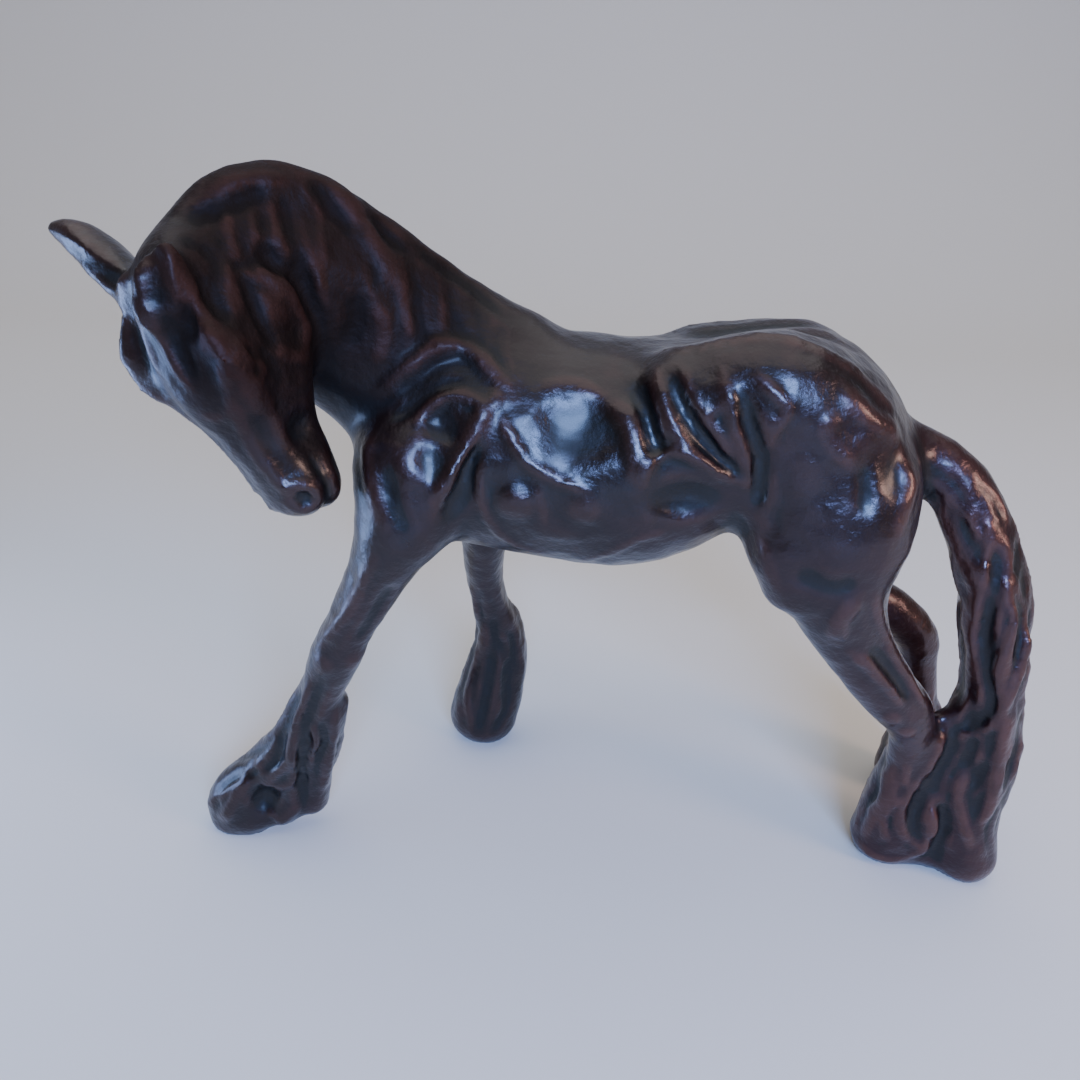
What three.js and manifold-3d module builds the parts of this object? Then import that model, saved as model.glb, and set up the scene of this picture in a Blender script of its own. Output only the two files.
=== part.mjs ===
// Bronze horse: a small cast sculpture of a heavy horse, standing with its neck arched
// and its head turned to its left side, the feathered feet and the tail end on the ground.
// It is modelled as a sculptor would: masses of clay are blended together, then ridges,
// grooves and hollows are worked into them, and the result is cast as one solid.
// Units are millimetres. X runs along the horse (head towards -X), its left side faces
// -Y, and Z is up from the ground at z = 0.
import * as THREE from "three";
import Module from "manifold-3d";

// Driving sizes
const horseHeight = 151.5; // ground to the top of the arched neck
const drawnHeight = 151.5; // the height at which the masses below are written
const clayCell = 1.9; // spacing of the grid that holds the clay
const triangleBudget = 8600; // facets left on the finished cast
const soleCut = -1.2; // height at which the soles are filed flat, so that the horse stands
const fileSize = 150; // thickness of the block that files the soles, wider than the figure
const midPlane = 4; // y of the plane that halves the body

// Bronze as it looks under its dark brown wax
const bronze = { color: 0x2e1a17, roughness: 0.34, metalness: 0.75 };

// The grid covers the figure with a little air on every side
const lowCorner = [-104, -46, -6];
const highCorner = [112, 56, 156];
const farAway = 30;

const add = (a, b, s = 1) => [a[0] + b[0] * s, a[1] + b[1] * s, a[2] + b[2] * s];
const dot = (a, b) => a[0] * b[0] + a[1] * b[1] + a[2] * b[2];
const cross = (a, b) => [
  a[1] * b[2] - a[2] * b[1],
  a[2] * b[0] - a[0] * b[2],
  a[0] * b[1] - a[1] * b[0],
];
const unit = (a) => a.map((v) => v / Math.hypot(...a));

// A smooth run of stations through the given ones (Catmull-Rom); a station is a point
// followed by any sizes that change along with it.
function smoothRun(stations, steps) {
  const last = stations.length - 1;
  const mirrored = (a, b) => a.map((v, k) => 2 * v - b[k]);
  const ends = [
    mirrored(stations[0], stations[1]),
    ...stations,
    mirrored(stations[last], stations[last - 1]),
  ];
  const run = [];
  for (let i = 1; i <= last; i++) {
    const [p, q, r, s] = ends.slice(i - 1, i + 3);
    for (let j = 0; j < steps; j++) {
      const t = j / steps;
      run.push(
        q.map(
          (v, k) =>
            0.5 *
            (2 * v +
              (r[k] - p[k]) * t +
              (2 * p[k] - 5 * v + 4 * r[k] - s[k]) * t * t +
              (3 * v - p[k] - 3 * r[k] + s[k]) * t ** 3)
        )
      );
    }
  }
  run.push(stations[last]);
  return run;
}

// Clay is a grid of signed distances: below zero inside the figure, above zero in the air
class Clay {
  constructor(low, high, cell) {
    this.low = low;
    this.cell = cell;
    this.count = low.map((v, k) => Math.ceil((high[k] - v) / cell) + 1);
    this.values = new Float32Array(this.count[0] * this.count[1] * this.count[2]).fill(farAway);
  }

  index(i, j, k) {
    return (i * this.count[1] + j) * this.count[2] + k;
  }

  // The grid range that holds a box
  range(low, high) {
    const from = low.map((v, k) => Math.max(0, Math.floor((v - this.low[k]) / this.cell)));
    const to = high.map((v, k) =>
      Math.min(this.count[k] - 1, Math.ceil((v - this.low[k]) / this.cell))
    );
    return { from, to };
  }

  // Calls work(index, x, y, z) at each grid point of a box
  each(low, high, work) {
    const { from, to } = this.range(low, high);
    for (let i = from[0]; i <= to[0]; i++) {
      const x = this.low[0] + i * this.cell;
      for (let j = from[1]; j <= to[1]; j++) {
        const y = this.low[1] + j * this.cell;
        for (let k = from[2]; k <= to[2]; k++) {
          work(this.index(i, j, k), x, y, this.low[2] + k * this.cell);
        }
      }
    }
  }

  // Distance at any point, between the grid points
  at(point) {
    const grid = point.map((v, k) =>
      Math.min(Math.max((v - this.low[k]) / this.cell, 0), this.count[k] - 1.001)
    );
    const base = grid.map(Math.floor);
    const part = grid.map((v, k) => v - base[k]);
    let total = 0;
    for (let corner = 0; corner < 8; corner++) {
      const step = [corner & 1, (corner >> 1) & 1, corner >> 2];
      const share = step.reduce((w, s, k) => w * (s ? part[k] : 1 - part[k]), 1);
      total += share * this.values[this.index(...add(base, step))];
    }
    return total;
  }

  // Moves a point onto the skin of the clay
  onSkin(point) {
    let p = [...point];
    const e = this.cell * 0.75;
    for (let turn = 0; turn < 6; turn++) {
      const slope = [0, 1, 2].map((k) => {
        const shift = [0, 0, 0];
        shift[k] = e;
        return (this.at(add(p, shift)) - this.at(add(p, shift, -1))) / (2 * e);
      });
      const push = this.at(p) / Math.max(dot(slope, slope), 0.05);
      p = add(p, slope, -Math.min(Math.max(push, -3), 3));
    }
    return p;
  }

  // A mass swept through stations [x, y, z, half width, half depth]; the width is
  // measured along side, and blend is the reach of the soft joint with what is there.
  mass(stations, blend, side = [0, 1, 0]) {
    const run = smoothRun(stations, 4);
    const reach = blend + 1.5 * this.cell + 1;
    const own = new Map();
    for (let n = 0; n + 1 < run.length; n++) {
      const [a, b] = [run[n], run[n + 1]];
      const along = add(b, a, -1);
      const length = Math.max(Math.hypot(...along), 1e-6);
      const axis = along.map((v) => v / length);
      const across = unit(add(side, axis, -dot(side, axis)));
      const upward = cross(axis, across);
      const size = Math.max(a[3], a[4], b[3], b[4]) + reach;
      const low = [0, 1, 2].map((k) => Math.min(a[k], b[k]) - size);
      const high = [0, 1, 2].map((k) => Math.max(a[k], b[k]) + size);
      this.each(low, high, (at, x, y, z) => {
        const p = [x - a[0], y - a[1], z - a[2]];
        const run0 = dot(p, axis);
        const t = Math.min(Math.max(run0 / length, 0), 1);
        const width = a[3] + (b[3] - a[3]) * t;
        const depth = a[4] + (b[4] - a[4]) * t;
        const small = Math.min(width, depth);
        const u = dot(p, across);
        const v = dot(p, upward);
        const w = run0 - t * length;
        const k0 = Math.hypot(u / width, v / depth, w / small);
        const k1 = Math.hypot(u / width ** 2, v / depth ** 2, w / small ** 2);
        const distance = (k0 * (k0 - 1)) / Math.max(k1, 1e-4);
        const known = own.get(at);
        if (known === undefined || distance < known) own.set(at, distance);
      });
    }
    for (const [at, distance] of own) {
      const here = this.values[at];
      const soft = Math.max(blend - Math.abs(here - distance), 0) / blend;
      this.values[at] = Math.min(here, distance) - soft * soft * blend * 0.25;
    }
  }

  // Pushes a line into the skin, or raises it where height is above zero
  line(points, width, height) {
    const run = smoothRun(points, 5).map((p) => this.onSkin(p));
    const nearest = new Map();
    for (let n = 0; n + 1 < run.length; n++) {
      const [a, b] = [run[n], run[n + 1]];
      const along = add(b, a, -1);
      const length2 = Math.max(dot(along, along), 1e-9);
      const low = [0, 1, 2].map((k) => Math.min(a[k], b[k]) - width);
      const high = [0, 1, 2].map((k) => Math.max(a[k], b[k]) + width);
      this.each(low, high, (at, x, y, z) => {
        const p = [x - a[0], y - a[1], z - a[2]];
        const t = Math.min(Math.max(dot(p, along) / length2, 0), 1);
        const off = add(p, along, -t);
        const gap2 = dot(off, off) / (width * width);
        const place = (n + t) / (run.length - 1);
        const known = nearest.get(at);
        if (gap2 < 1 && (!known || gap2 < known[0])) nearest.set(at, [gap2, place]);
      });
    }
    for (const [at, [gap2, place]] of nearest) {
      const taper = Math.min(Math.min(place, 1 - place) * 5 + 0.35, 1);
      this.values[at] -= height * (1 - gap2) ** 2 * taper;
    }
  }

  // A thumb mark: a hollow of the given depth, or a bump where depth is below zero
  thumb(centre, size, depth) {
    const c = this.onSkin(centre);
    this.each(add(c, size, -1), add(c, size), (at, x, y, z) => {
      const gap2 = ((x - c[0]) / size[0]) ** 2 + ((y - c[1]) / size[1]) ** 2 + ((z - c[2]) / size[2]) ** 2;
      if (gap2 < 1) this.values[at] += depth * (1 - gap2) ** 2;
    });
  }
}

// The head has a frame of its own: down the nose, towards its left cheek, and out of
// the forehead, all from the poll between the ears.
const poll = [-72.5, -23, 137.3];
const downNose = unit([0.39, 0.06, -0.92]);
const leanCheek = [0.8, -0.52, 0.29];
const toCheek = unit(add(leanCheek, downNose, -dot(leanCheek, downNose)));
const toBrow = cross(downNose, toCheek);
const headPoint = (down, cheek, brow) =>
  add(add(add(poll, downNose, down), toCheek, cheek), toBrow, brow);

// Stations of the main masses: x, y, z, half width, half depth
const barrel = [
  [-33.6, -2, 99.4, 13.6, 14],
  [-26, 2, 101.3, 19, 21.2],
  [-8, 4, 99, 22, 22.6],
  [5, 4, 98.4, 22.5, 22.4],
  [20, 4, 102.7, 21, 18.8],
  [36, 4, 103.5, 19.5, 20],
];
const rump = [
  [34, 4, 104, 18, 18.5],
  [44, 4, 100.6, 16.5, 15.2],
  [50.5, 3, 97, 13, 12.4],
];
const nearCroup = [
  [14, -8, 114, 8, 9],
  [28, -9, 116, 10, 11],
  [39.5, -9, 110.5, 10, 9.6],
];
const farCroup = [
  [20, 14, 112.5, 8, 8.2],
  [37.5, 15, 112.2, 9, 10],
];
const neck = [
  [-22, 3, 106, 14, 17.5],
  [-34, 2, 112, 12.5, 17.5],
  [-45, 0, 120, 10.5, 16.5],
  [-54, -5, 128, 9, 14],
  [-63, -13, 133.5, 8, 10],
];
const crest = [
  [-18, 4, 118.4, 6, 6.6],
  [-32, 3, 127.7, 5, 6],
  [-44, 1, 137.4, 5, 5.3],
  [-55, -4, 144.6, 5, 5.2],
  [-63.7, -10, 144.4, 5, 5.2],
  [-70, -16, 138.4, 4.8, 4.8],
];
const tail = [
  [52, 3, 104, 4, 4],
  [61, 2, 101.9, 5, 5.2],
  [68, 0, 97.4, 5.4, 5.8],
  [73.8, -2, 89.6, 6, 6.4],
  [78.9, -4, 79, 6.8, 6.7],
  [82.5, -5, 67, 7.2, 7.1],
  [85.4, -6, 54, 7.2, 6.3],
  [88.3, -6, 42, 7, 6.4],
  [90, -6, 29, 7.6, 6.6],
  [90, -6, 15, 7.2, 6.2],
  [92.4, -6.8, 3.6, 7, 6.4],
];
// Hair between the tail and the near hind leg, which joins the two in the casting
const tailWeb = [
  [85, -6, 49, 4, 3.6],
  [81.5, -6, 41, 4, 5],
  [80, -5, 30, 5, 6],
  [81.5, -4, 16, 6, 6.4],
  [85, -3.6, 4, 6, 6.6],
];
// Each leg from its root in the body down to the hoof
const nearForeleg = [
  [-34.4, -10, 100, 9.5, 11.4],
  [-38.8, -12, 87.6, 9, 8.2],
  [-42.8, -11.5, 78.5, 7.2, 6.3],
  [-46.8, -10.5, 70, 6.2, 5.6],
  [-50.5, -9.5, 62.5, 5.6, 5.2],
  [-53.8, -8.5, 55, 5.6, 5.6],
  [-57.5, -7, 46, 5, 4.8],
  [-61.5, -5.5, 37, 4.8, 5],
  [-66.5, -4, 27, 5.2, 5.6],
  [-74, -2, 17, 6, 5.6],
  [-80.6, -1.6, 8, 6.4, 6.6],
  [-79.8, -1.2, 3.4, 6.8, 9.8],
];
const foreFeather = [
  [-57, -5, 38, 4, 4],
  [-59.5, -3.5, 27, 4.2, 4],
  [-62.4, -2, 17, 4.4, 4],
  [-64.6, -0.6, 6.4, 4.4, 4],
];
const farForeleg = [
  [-32, 13, 98, 10, 13],
  [-27, 17, 84, 8.5, 9.5],
  [-25, 20, 72, 6.5, 6],
  [-25.2, 23.5, 62, 5.4, 5],
  [-25, 27, 54, 5.2, 4.6],
  [-23.8, 30, 46, 5, 4.3],
  [-22.3, 33, 36, 5.5, 6.3],
  [-22, 35, 26, 7, 8],
  [-24, 35.4, 14, 7.8, 9.2],
  [-25.8, 35, 5, 8, 9.4],
];
const nearHindLeg = [
  [38, -7, 104, 12, 15],
  [41.5, -9.5, 94, 12.5, 15.1],
  [44, -11, 84, 11, 12.1],
  [47, -11.5, 75, 8.5, 9.2],
  [52.9, -11.5, 64.5, 6.3, 7],
  [60.3, -11, 55, 5.4, 6.3],
  [66.7, -10, 48, 5, 5.9],
  [70.5, -8, 41, 4.6, 4.8],
  [72.2, -6, 33, 4.6, 4.6],
  [73.2, -4, 26, 5.6, 5.2],
  [74.6, -2.4, 16, 7, 6.8],
  [75.6, -1.8, 9, 8, 8.2],
  [75.8, -1.2, 3.8, 7.8, 9],
];
const farHindLeg = [
  [40, 14, 105, 12, 14],
  [43, 17, 94, 12, 15],
  [45, 18, 84, 10.5, 11.9],
  [49.6, 18, 73.2, 8, 8.2],
  [58.4, 17.5, 62.8, 6, 5.3],
  [70.5, 17.5, 56.5, 5, 5.2],
  [79, 18, 48.5, 5, 5.2],
  [81.5, 19, 40, 4.6, 4.8],
  [84.6, 20, 30, 5, 4.6],
  [87.2, 21, 22, 6, 5],
  [87.5, 22, 12, 7, 6.5],
  [87.6, 22, 4, 7.4, 7.4],
];
const nearEar = [
  [-69, -29, 131.6, 4.6, 3.6],
  [-68.4, -29.6, 136.4, 4, 3],
  [-67.8, -29.4, 140.8, 2, 1.6],
];
const farEar = [
  [-78.5, -17, 131.2, 4.2, 3.4],
  [-84, -13, 134.2, 4.4, 3.2],
  [-90, -10, 138, 3.6, 2.8],
  [-94.6, -9, 139, 1.4, 1.2],
];

function layBody(clay) {
  clay.mass(barrel, 2);
  clay.mass(rump, 6);
  clay.mass(nearCroup, 7);
  clay.mass(farCroup, 7);
  clay.mass(neck, 5);
  clay.mass(crest, 5);
  // The two muscles of the breast
  clay.mass([[-36.4, -9, 98, 8.6, 8.8], [-36, -10, 90, 9, 8.4]], 5);
  clay.mass([[-38.5, 9, 98, 8, 9.4], [-35.5, 10, 90, 9, 8.8]], 5);
}

function layHead(clay) {
  const at = (down, cheek, brow, width, depth) => [...headPoint(down, cheek, brow), width, depth];
  const skull = [
    at(4.5, 0.5, -3, 7.6, 7.4),
    at(11, 0, -2.5, 10, 10),
    at(18, 0, -1.6, 10.4, 10),
    at(26, 0, -1.4, 7.6, 7.8),
    at(34, 0.2, -1, 6, 6.2),
    at(42, 0.6, -1.4, 6.8, 5.8),
  ];
  clay.mass(skull, 3, toCheek);
  for (const q of [-1, 1]) {
    const jowl = [
      at(12, q * 4.8, -8, 4.6, 9),
      at(20, q * 4.8, -7, 4.6, 8.6),
      at(27.5, q * 3.8, -5.5, 4, 6),
    ];
    clay.mass(jowl, 2.5, toCheek);
    // Bone over the eye, running on down the cheek
    const browBone = [
      at(13, q * 9.4, 3.6, 3, 2.8),
      at(17.5, q * 10.2, 3, 3.2, 3),
      at(24, q * 7.6, 2.2, 2.2, 2),
    ];
    clay.mass(browBone, 2.5, toCheek);
  }
  const lowerJaw = [
    at(22, 0, -8.6, 5, 6),
    at(32, 0.4, -7.6, 4.6, 4.4),
    at(40, 1.2, -6.2, 5.2, 4.4),
    at(44.4, 1.8, -4.8, 4.8, 4),
  ];
  clay.mass(lowerJaw, 3, toCheek);
  // Lock of the forelock that runs down over the far brow
  const farLock = [
    at(2, -5.4, 2.6, 2, 2.2),
    at(8, -7.8, 3.6, 2, 2.4),
    at(14, -10.4, 4.6, 2.2, 2.6),
    at(19, -8.6, 4, 2, 2.4),
  ];
  clay.mass(farLock, 2.5, toCheek);
  clay.mass(farEar, 2.5);
  clay.mass(nearEar, 2.5, [1, 0.3, 0]);
}

function layLegs(clay) {
  clay.mass(nearForeleg, 3.5);
  clay.mass(foreFeather, 3);
  // Hair between the hoof and its feather
  clay.mass([[-66, -4, 24, 3.6, 4], [-70, -3, 13, 3.8, 4.6], [-71, -2.5, 5, 4, 4.6]], 3);
  clay.mass(farForeleg, 4);
  clay.mass(nearHindLeg, 4);
  // Flesh of the near thigh, behind and in front
  clay.mass([[46.5, -11, 92, 9.5, 9.8], [48.5, -9, 99, 10, 8]], 6);
  clay.mass([[34, -13, 87, 6.5, 6], [37, -13, 80, 6, 5.5]], 4);
  clay.mass(farHindLeg, 4);
}

// Muscles are drawn on the near side, and again mirrored on the far side
function carveMuscles(clay) {
  for (const far of [false, true]) {
    const place = ([x, y, z]) => [x, far ? 2 * midPlane - y : y, z];
    const line = (points, width, height) => clay.line(points.map(place), width, height);
    const thumb = (centre, size, depth) => clay.thumb(place(centre), size, depth);
    // Shoulder blade, upper arm, girth and breast
    line([
      [-41, -11, 114.5], [-36, -11, 119], [-31.5, -9, 122.5],
      [-26, -8.5, 122.5], [-21, -10.5, 119.5], [-18, -13, 115],
    ], 3.7, 1.2);
    line([[-39, -12, 113.5], [-34, -11, 117], [-28, -10, 119.5], [-23.5, -11.5, 118.5]], 4.1, -0.9);
    line([
      [-34, -15, 110], [-31, -14, 113.5], [-27.5, -14, 114.8],
      [-23.5, -15, 113.5], [-23, -16, 110.5],
    ], 2.8, 1);
    line([[-23, -16, 110.5], [-26, -16.5, 106], [-29, -19, 101], [-31.5, -20, 97]], 2.8, 1.1);
    line([[-20.5, -14.5, 114], [-24, -16, 108.5], [-27, -18.5, 102], [-30.5, -20, 95]], 4.1, 1.2);
    line([[-23.5, -16, 108], [-25, -16.5, 103], [-26, -18, 98], [-28.5, -18, 92]], 3.2, -1.7);
    line([[-41.5, -12, 106], [-41, -16, 99], [-40, -19, 92]], 3, 0.9);
    line([[-38, -15, 103], [-37.5, -18, 96], [-36, -20, 90]], 2.8, -0.8);
    // Rims of the bowl between the ribs, and the edge along the belly
    line([
      [-21.5, -15, 111], [-23.2, -16, 104.5], [-23.6, -16, 99], [-22.5, -15, 94],
      [-20, -13.5, 89], [-16, -11.5, 85], [-11, -10.5, 82.5],
    ], 2.8, 1.1);
    line([
      [-19.5, -14.5, 112], [-17.5, -15, 108.5], [-14, -17, 104],
      [-8.5, -18, 101.5], [-3, -18.5, 100],
    ], 2.8, 1);
    line([[-14, -11.5, 115.5], [-8, -10, 117], [-2, -11.5, 115.5]], 3, 0.6);
    line([[-1, -12, 115], [2.2, -15, 112], [4, -17.5, 108], [4.6, -19, 104.5], [3.8, -19, 101]], 3.9, 1.3);
    line([[-12.5, -17.5, 100.5], [-11.5, -18, 96.5], [-11, -16.5, 92]], 2.8, 0.8);
    line([[-4.5, -10, 80.5], [1, -14.5, 85], [6.5, -16.5, 89.5], [11, -16, 91.5]], 2.8, 0.8);
    // Folds of the flank and the arch over its hollow
    line([[3.2, -11, 117.5], [5.6, -15.5, 113], [7, -17.5, 109], [9, -17.5, 106.5]], 2.8, -1.1);
    line([
      [7.5, -10, 119.5], [8.6, -14, 115.5], [10.8, -16, 111.5],
      [14, -17, 107.5], [19.5, -17, 104],
    ], 3.4, 1.1);
    line([
      [9.6, -12.5, 119.5], [11.4, -15, 115.5], [14.2, -17, 111.5],
      [18, -17, 107], [23, -17, 103],
    ], 2.8, -1.4);
    line([[11.4, -13, 119.5], [13.2, -16, 115], [16.4, -18, 110.5], [20.4, -17, 106]], 2.8, 1.1);
    line([
      [17.5, -16, 121], [19, -19, 117.5], [20.4, -19.5, 113],
      [23, -19, 107.5], [24.3, -17, 102.5],
    ], 3.2, 1.2);
    line([
      [20.6, -18.5, 118], [22.4, -20, 113], [25.2, -18, 107.5],
      [26.6, -17, 101], [27, -16.5, 97],
    ], 2.8, -1.2);
    line([
      [23.5, -16.5, 121], [26, -17, 119.3], [28.5, -18, 116.5],
      [27.5, -18, 113], [26.4, -17.5, 109],
    ], 2.8, 1);
    line([[27.8, -16.5, 105], [28.8, -16.5, 100], [28.2, -16, 96], [29.8, -17.5, 92]], 2.8, 0.9);
    line([
      [5.5, -19, 101], [7, -18, 105], [10.5, -17, 107],
      [14.5, -17.5, 106.3], [19, -18, 103.4], [24.5, -17, 101],
    ], 3, 1.3);
    line([[23.5, -17.5, 98], [26.5, -16.5, 92.5], [29.5, -18, 87], [32.5, -18, 81]], 3, 0.6);
    // Croup, haunch and the back of the thigh
    line([
      [6.5, -3.5, 121], [12.5, -8, 123.5], [19, -9.5, 125.5], [26, -11, 127.5],
      [34, -12.5, 126], [41, -12.5, 123], [47.5, -13, 117],
    ], 3.2, 1);
    line([[12, -1, 122], [22, -1, 124], [32, -1, 125], [42, 0, 122]], 5.1, -1.1);
    line([
      [37.5, -16.5, 120.5], [40, -17.5, 118], [43, -17.5, 115.3],
      [47, -16, 113], [50.5, -14.5, 110],
    ], 3.4, 0.9);
    line([[37, -19, 115.5], [35.2, -19.5, 113.3], [36.8, -20, 110.5], [41, -20, 107]], 2.8, 0.7);
    line([[42.5, -19.5, 107.5], [43.8, -20.5, 103], [43.5, -21.5, 99]], 2.8, -0.6);
    line([[50.5, -16, 108], [52.4, -17.5, 104], [51.6, -20, 99], [50.2, -21.5, 94]], 3.4, 0.7);
    line([[34, -20.5, 86.5], [41, -22, 84], [46, -22, 86]], 3.9, -0.8);
    // Hollows and swellings
    thumb([-30, -14.5, 109.5], [4.4, 6, 4.8], 1.1);
    thumb([-32, -17, 103.5], [3.6, 6, 4.6], 0.9);
    thumb([-6.5, -14, 108.5], [9.5, 9, 8.5], 2);
    thumb([-16.5, -18, 96], [5.4, 6, 5], -1.5);
    thumb([-4.5, -19, 96], [5, 6, 4.6], -1.2);
    thumb([-9, -17, 90], [7, 6, 4], -0.5);
    thumb([13.5, -16, 98.5], [9.5, 8, 5.4], 2.6);
    thumb([15.5, -17, 117], [4, 6, 4], -0.4);
    thumb([25.5, -17.5, 113.5], [3, 5, 4.5], -0.5);
    thumb([33, -19, 104], [6, 6, 8], -0.5);
    thumb([40, -18, 117], [4.5, 5, 4], -0.5);
    thumb([48, -17, 104], [4, 6, 6], 0.7);
  }
}

function carveHead(clay) {
  const at = headPoint;
  for (const q of [-1, 1]) {
    // Eye in its socket under the brow, with the corner of the face that runs to the nostril
    clay.thumb(at(18, q * 12.5, 2), [3.4, 3.4, 3.4], 1.1);
    clay.thumb(at(18, q * 13, 2.4), [2.2, 2.2, 2.2], -0.9);
    clay.line([at(5, q * 8, 2), at(10, q * 10, 4.4), at(14, q * 11.5, 6), at(20.5, q * 8, 6.6)], 2.8, 0.8);
    clay.line([at(21, q * 8, 6.4), at(28, q * 5.4, 5.4), at(36, q * 4.6, 4.8), at(41, q * 5.4, 4)], 2.6, 0.7);
    // Nostril and mouth
    clay.thumb(at(43, q * 5.8, 2), [2.4, 2.4, 2.4], 1.8);
    clay.line([at(37, q * 6.4, -3.2), at(42, q * 6.6, -2.6), at(47, q * 3.5, -2)], 2.2, -1.2);
    // Edge of the cheek disc and the groove across it
    clay.line([at(5, q * 8.8, -7), at(9.5, q * 9.5, -10.5), at(14, q * 9.5, -13), at(22, q * 9, -11)], 2.8, 1);
    clay.line([at(8, q * 9.5, -6.6), at(11.5, q * 10, -5.2), at(19, q * 10.2, -5)], 2.2, -0.9);
  }
  // Forelock, and the hollow over the far brow
  clay.line([at(3, 3, 8), at(8, 3.6, 9), at(13, 3.6, 9), at(18, 3.6, 8.6)], 2.4, 1);
  clay.line([at(5, 6.4, 7), at(9, 6, 7), at(13, 5.4, 7.5), at(17, 5, 7.5)], 2.2, -0.9);
  clay.thumb(at(6, -5.5, 6.5), [5, 4.5, 6.5], 1.8);
  clay.thumb(at(11, -5.5, 7), [4, 3.6, 5], 1.2);
  // Inside of the ears
  clay.line([[-80, -17, 132.5], [-85, -15.5, 134], [-91, -12, 136.8]], 2.4, -1.5);
  clay.line([[-67.5, -31, 135], [-68, -31, 138], [-68, -30, 140.4]], 2.4, -1.5);
}

// Locks of the mane leave the crest one after another and hang down both sides
function carveMane(clay) {
  const locks = 9;
  const crestRun = smoothRun(crest, 8);
  for (const q of [-1, 1]) {
    for (let n = 0; n < locks; n++) {
      const top = crestRun[Math.round((0.16 + (0.8 * n) / locks) * (crestRun.length - 1))];
      const drop = 15 + 4 * Math.sin(n * 2.1);
      const lean = 3 + 3 * Math.cos(n * 1.7);
      const lock = [
        [top[0], top[1] + q * 2, top[2] + 4],
        [top[0] + lean * 0.7, top[1] + q * 8, top[2] - drop * 0.45],
        [top[0] + lean + 2, top[1] + q * 10, top[2] - drop],
      ];
      clay.line(lock, 2.6, n % 2 ? 0.8 : -0.8);
    }
  }
  // A long fold behind the jowl, where the neck turns
  clay.line([[-58.5, -18.5, 139], [-55.5, -17, 136.8], [-52.5, -15, 133], [-51, -13, 126.5]], 3, -1.6);
  // The lower edge of the mane
  clay.line([[-48.5, -2.5, 147.5], [-45.5, -4, 143.5], [-41.5, -5.5, 137], [-36.5, -6.5, 129.5]], 3.4, 0.9);
}

// Strands run down the tail in a slow twist
function carveTail(clay) {
  const strands = 6;
  const run = smoothRun(tail, 3);
  for (let n = 0; n < strands; n++) {
    const lock = run.slice(3).map(([x, y, z, width, depth], step) => {
      const turn = (2 * Math.PI * n) / strands + step * 0.16;
      return [x + depth * Math.cos(turn), y + width * Math.sin(turn), z + depth * 0.3 * Math.cos(turn)];
    });
    clay.line(lock, 2.6, n % 2 ? 1.5 : -1.3);
  }
}

// Feather: hair hangs from the fetlock over the hoof, in strokes all round the leg
function carveFeather(clay, leg, from, strokes) {
  const run = smoothRun(leg, 3).slice(from * 3);
  for (let n = 0; n < strokes; n++) {
    const turn = (2 * Math.PI * (n + 0.3)) / strokes;
    const lock = run.map(([x, y, z, width, depth], step) => {
      const bend = turn + 0.05 * step;
      return [x + depth * Math.cos(bend), y + width * Math.sin(bend), Math.max(z, 3)];
    });
    clay.line(lock, 2.5, n % 2 ? 1.2 : -1.1);
  }
}

function carveLegs(clay) {
  // Forearm, knee and cannon, with the groove before the feather
  clay.line([[-41.5, -20, 85], [-44.5, -18.5, 79], [-47, -17.5, 73], [-56, -13, 60]], 3.2, 0.9);
  clay.line([[-59, -12, 49], [-62.5, -10.5, 40.5], [-65.5, -9.5, 33]], 2.6, 0.8);
  clay.line([[-56, -13.5, 51.5], [-60, -11, 41], [-63.5, -8.5, 26], [-66.5, -4, 9]], 2.8, -1.4);
  clay.thumb([-55.5, -14, 56], [3.4, 4, 3.6], -0.7);
  clay.thumb([-74, -7, 12], [4.6, 5, 6], 1.9);
  // Gaskin: its plane, the groove and the ridges beside it, and the hock
  clay.line([[46, -21.5, 82], [44.5, -20.5, 76], [45, -19.5, 71]], 3.2, 0.8);
  clay.line([[53, -18, 68.5], [58.5, -16.5, 62], [64, -15.5, 54.5]], 2.6, -1);
  clay.line([[55.5, -17.5, 70.5], [60, -16.5, 65], [69, -14, 52]], 2.6, 0.9);
  clay.line([[49.5, -18.5, 67], [56, -17, 61], [62.5, -15.5, 54]], 2.8, 0.9);
  clay.thumb([66.5, -14.5, 45], [3, 3, 3], -0.8);
  clay.thumb([77, -9.5, 19.5], [3, 4, 5.4], 1.5);
  carveFeather(clay, nearForeleg, 8, 7);
  carveFeather(clay, farForeleg, 6, 8);
  carveFeather(clay, nearHindLeg, 9, 7);
  carveFeather(clay, farHindLeg, 8, 8);
}

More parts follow.
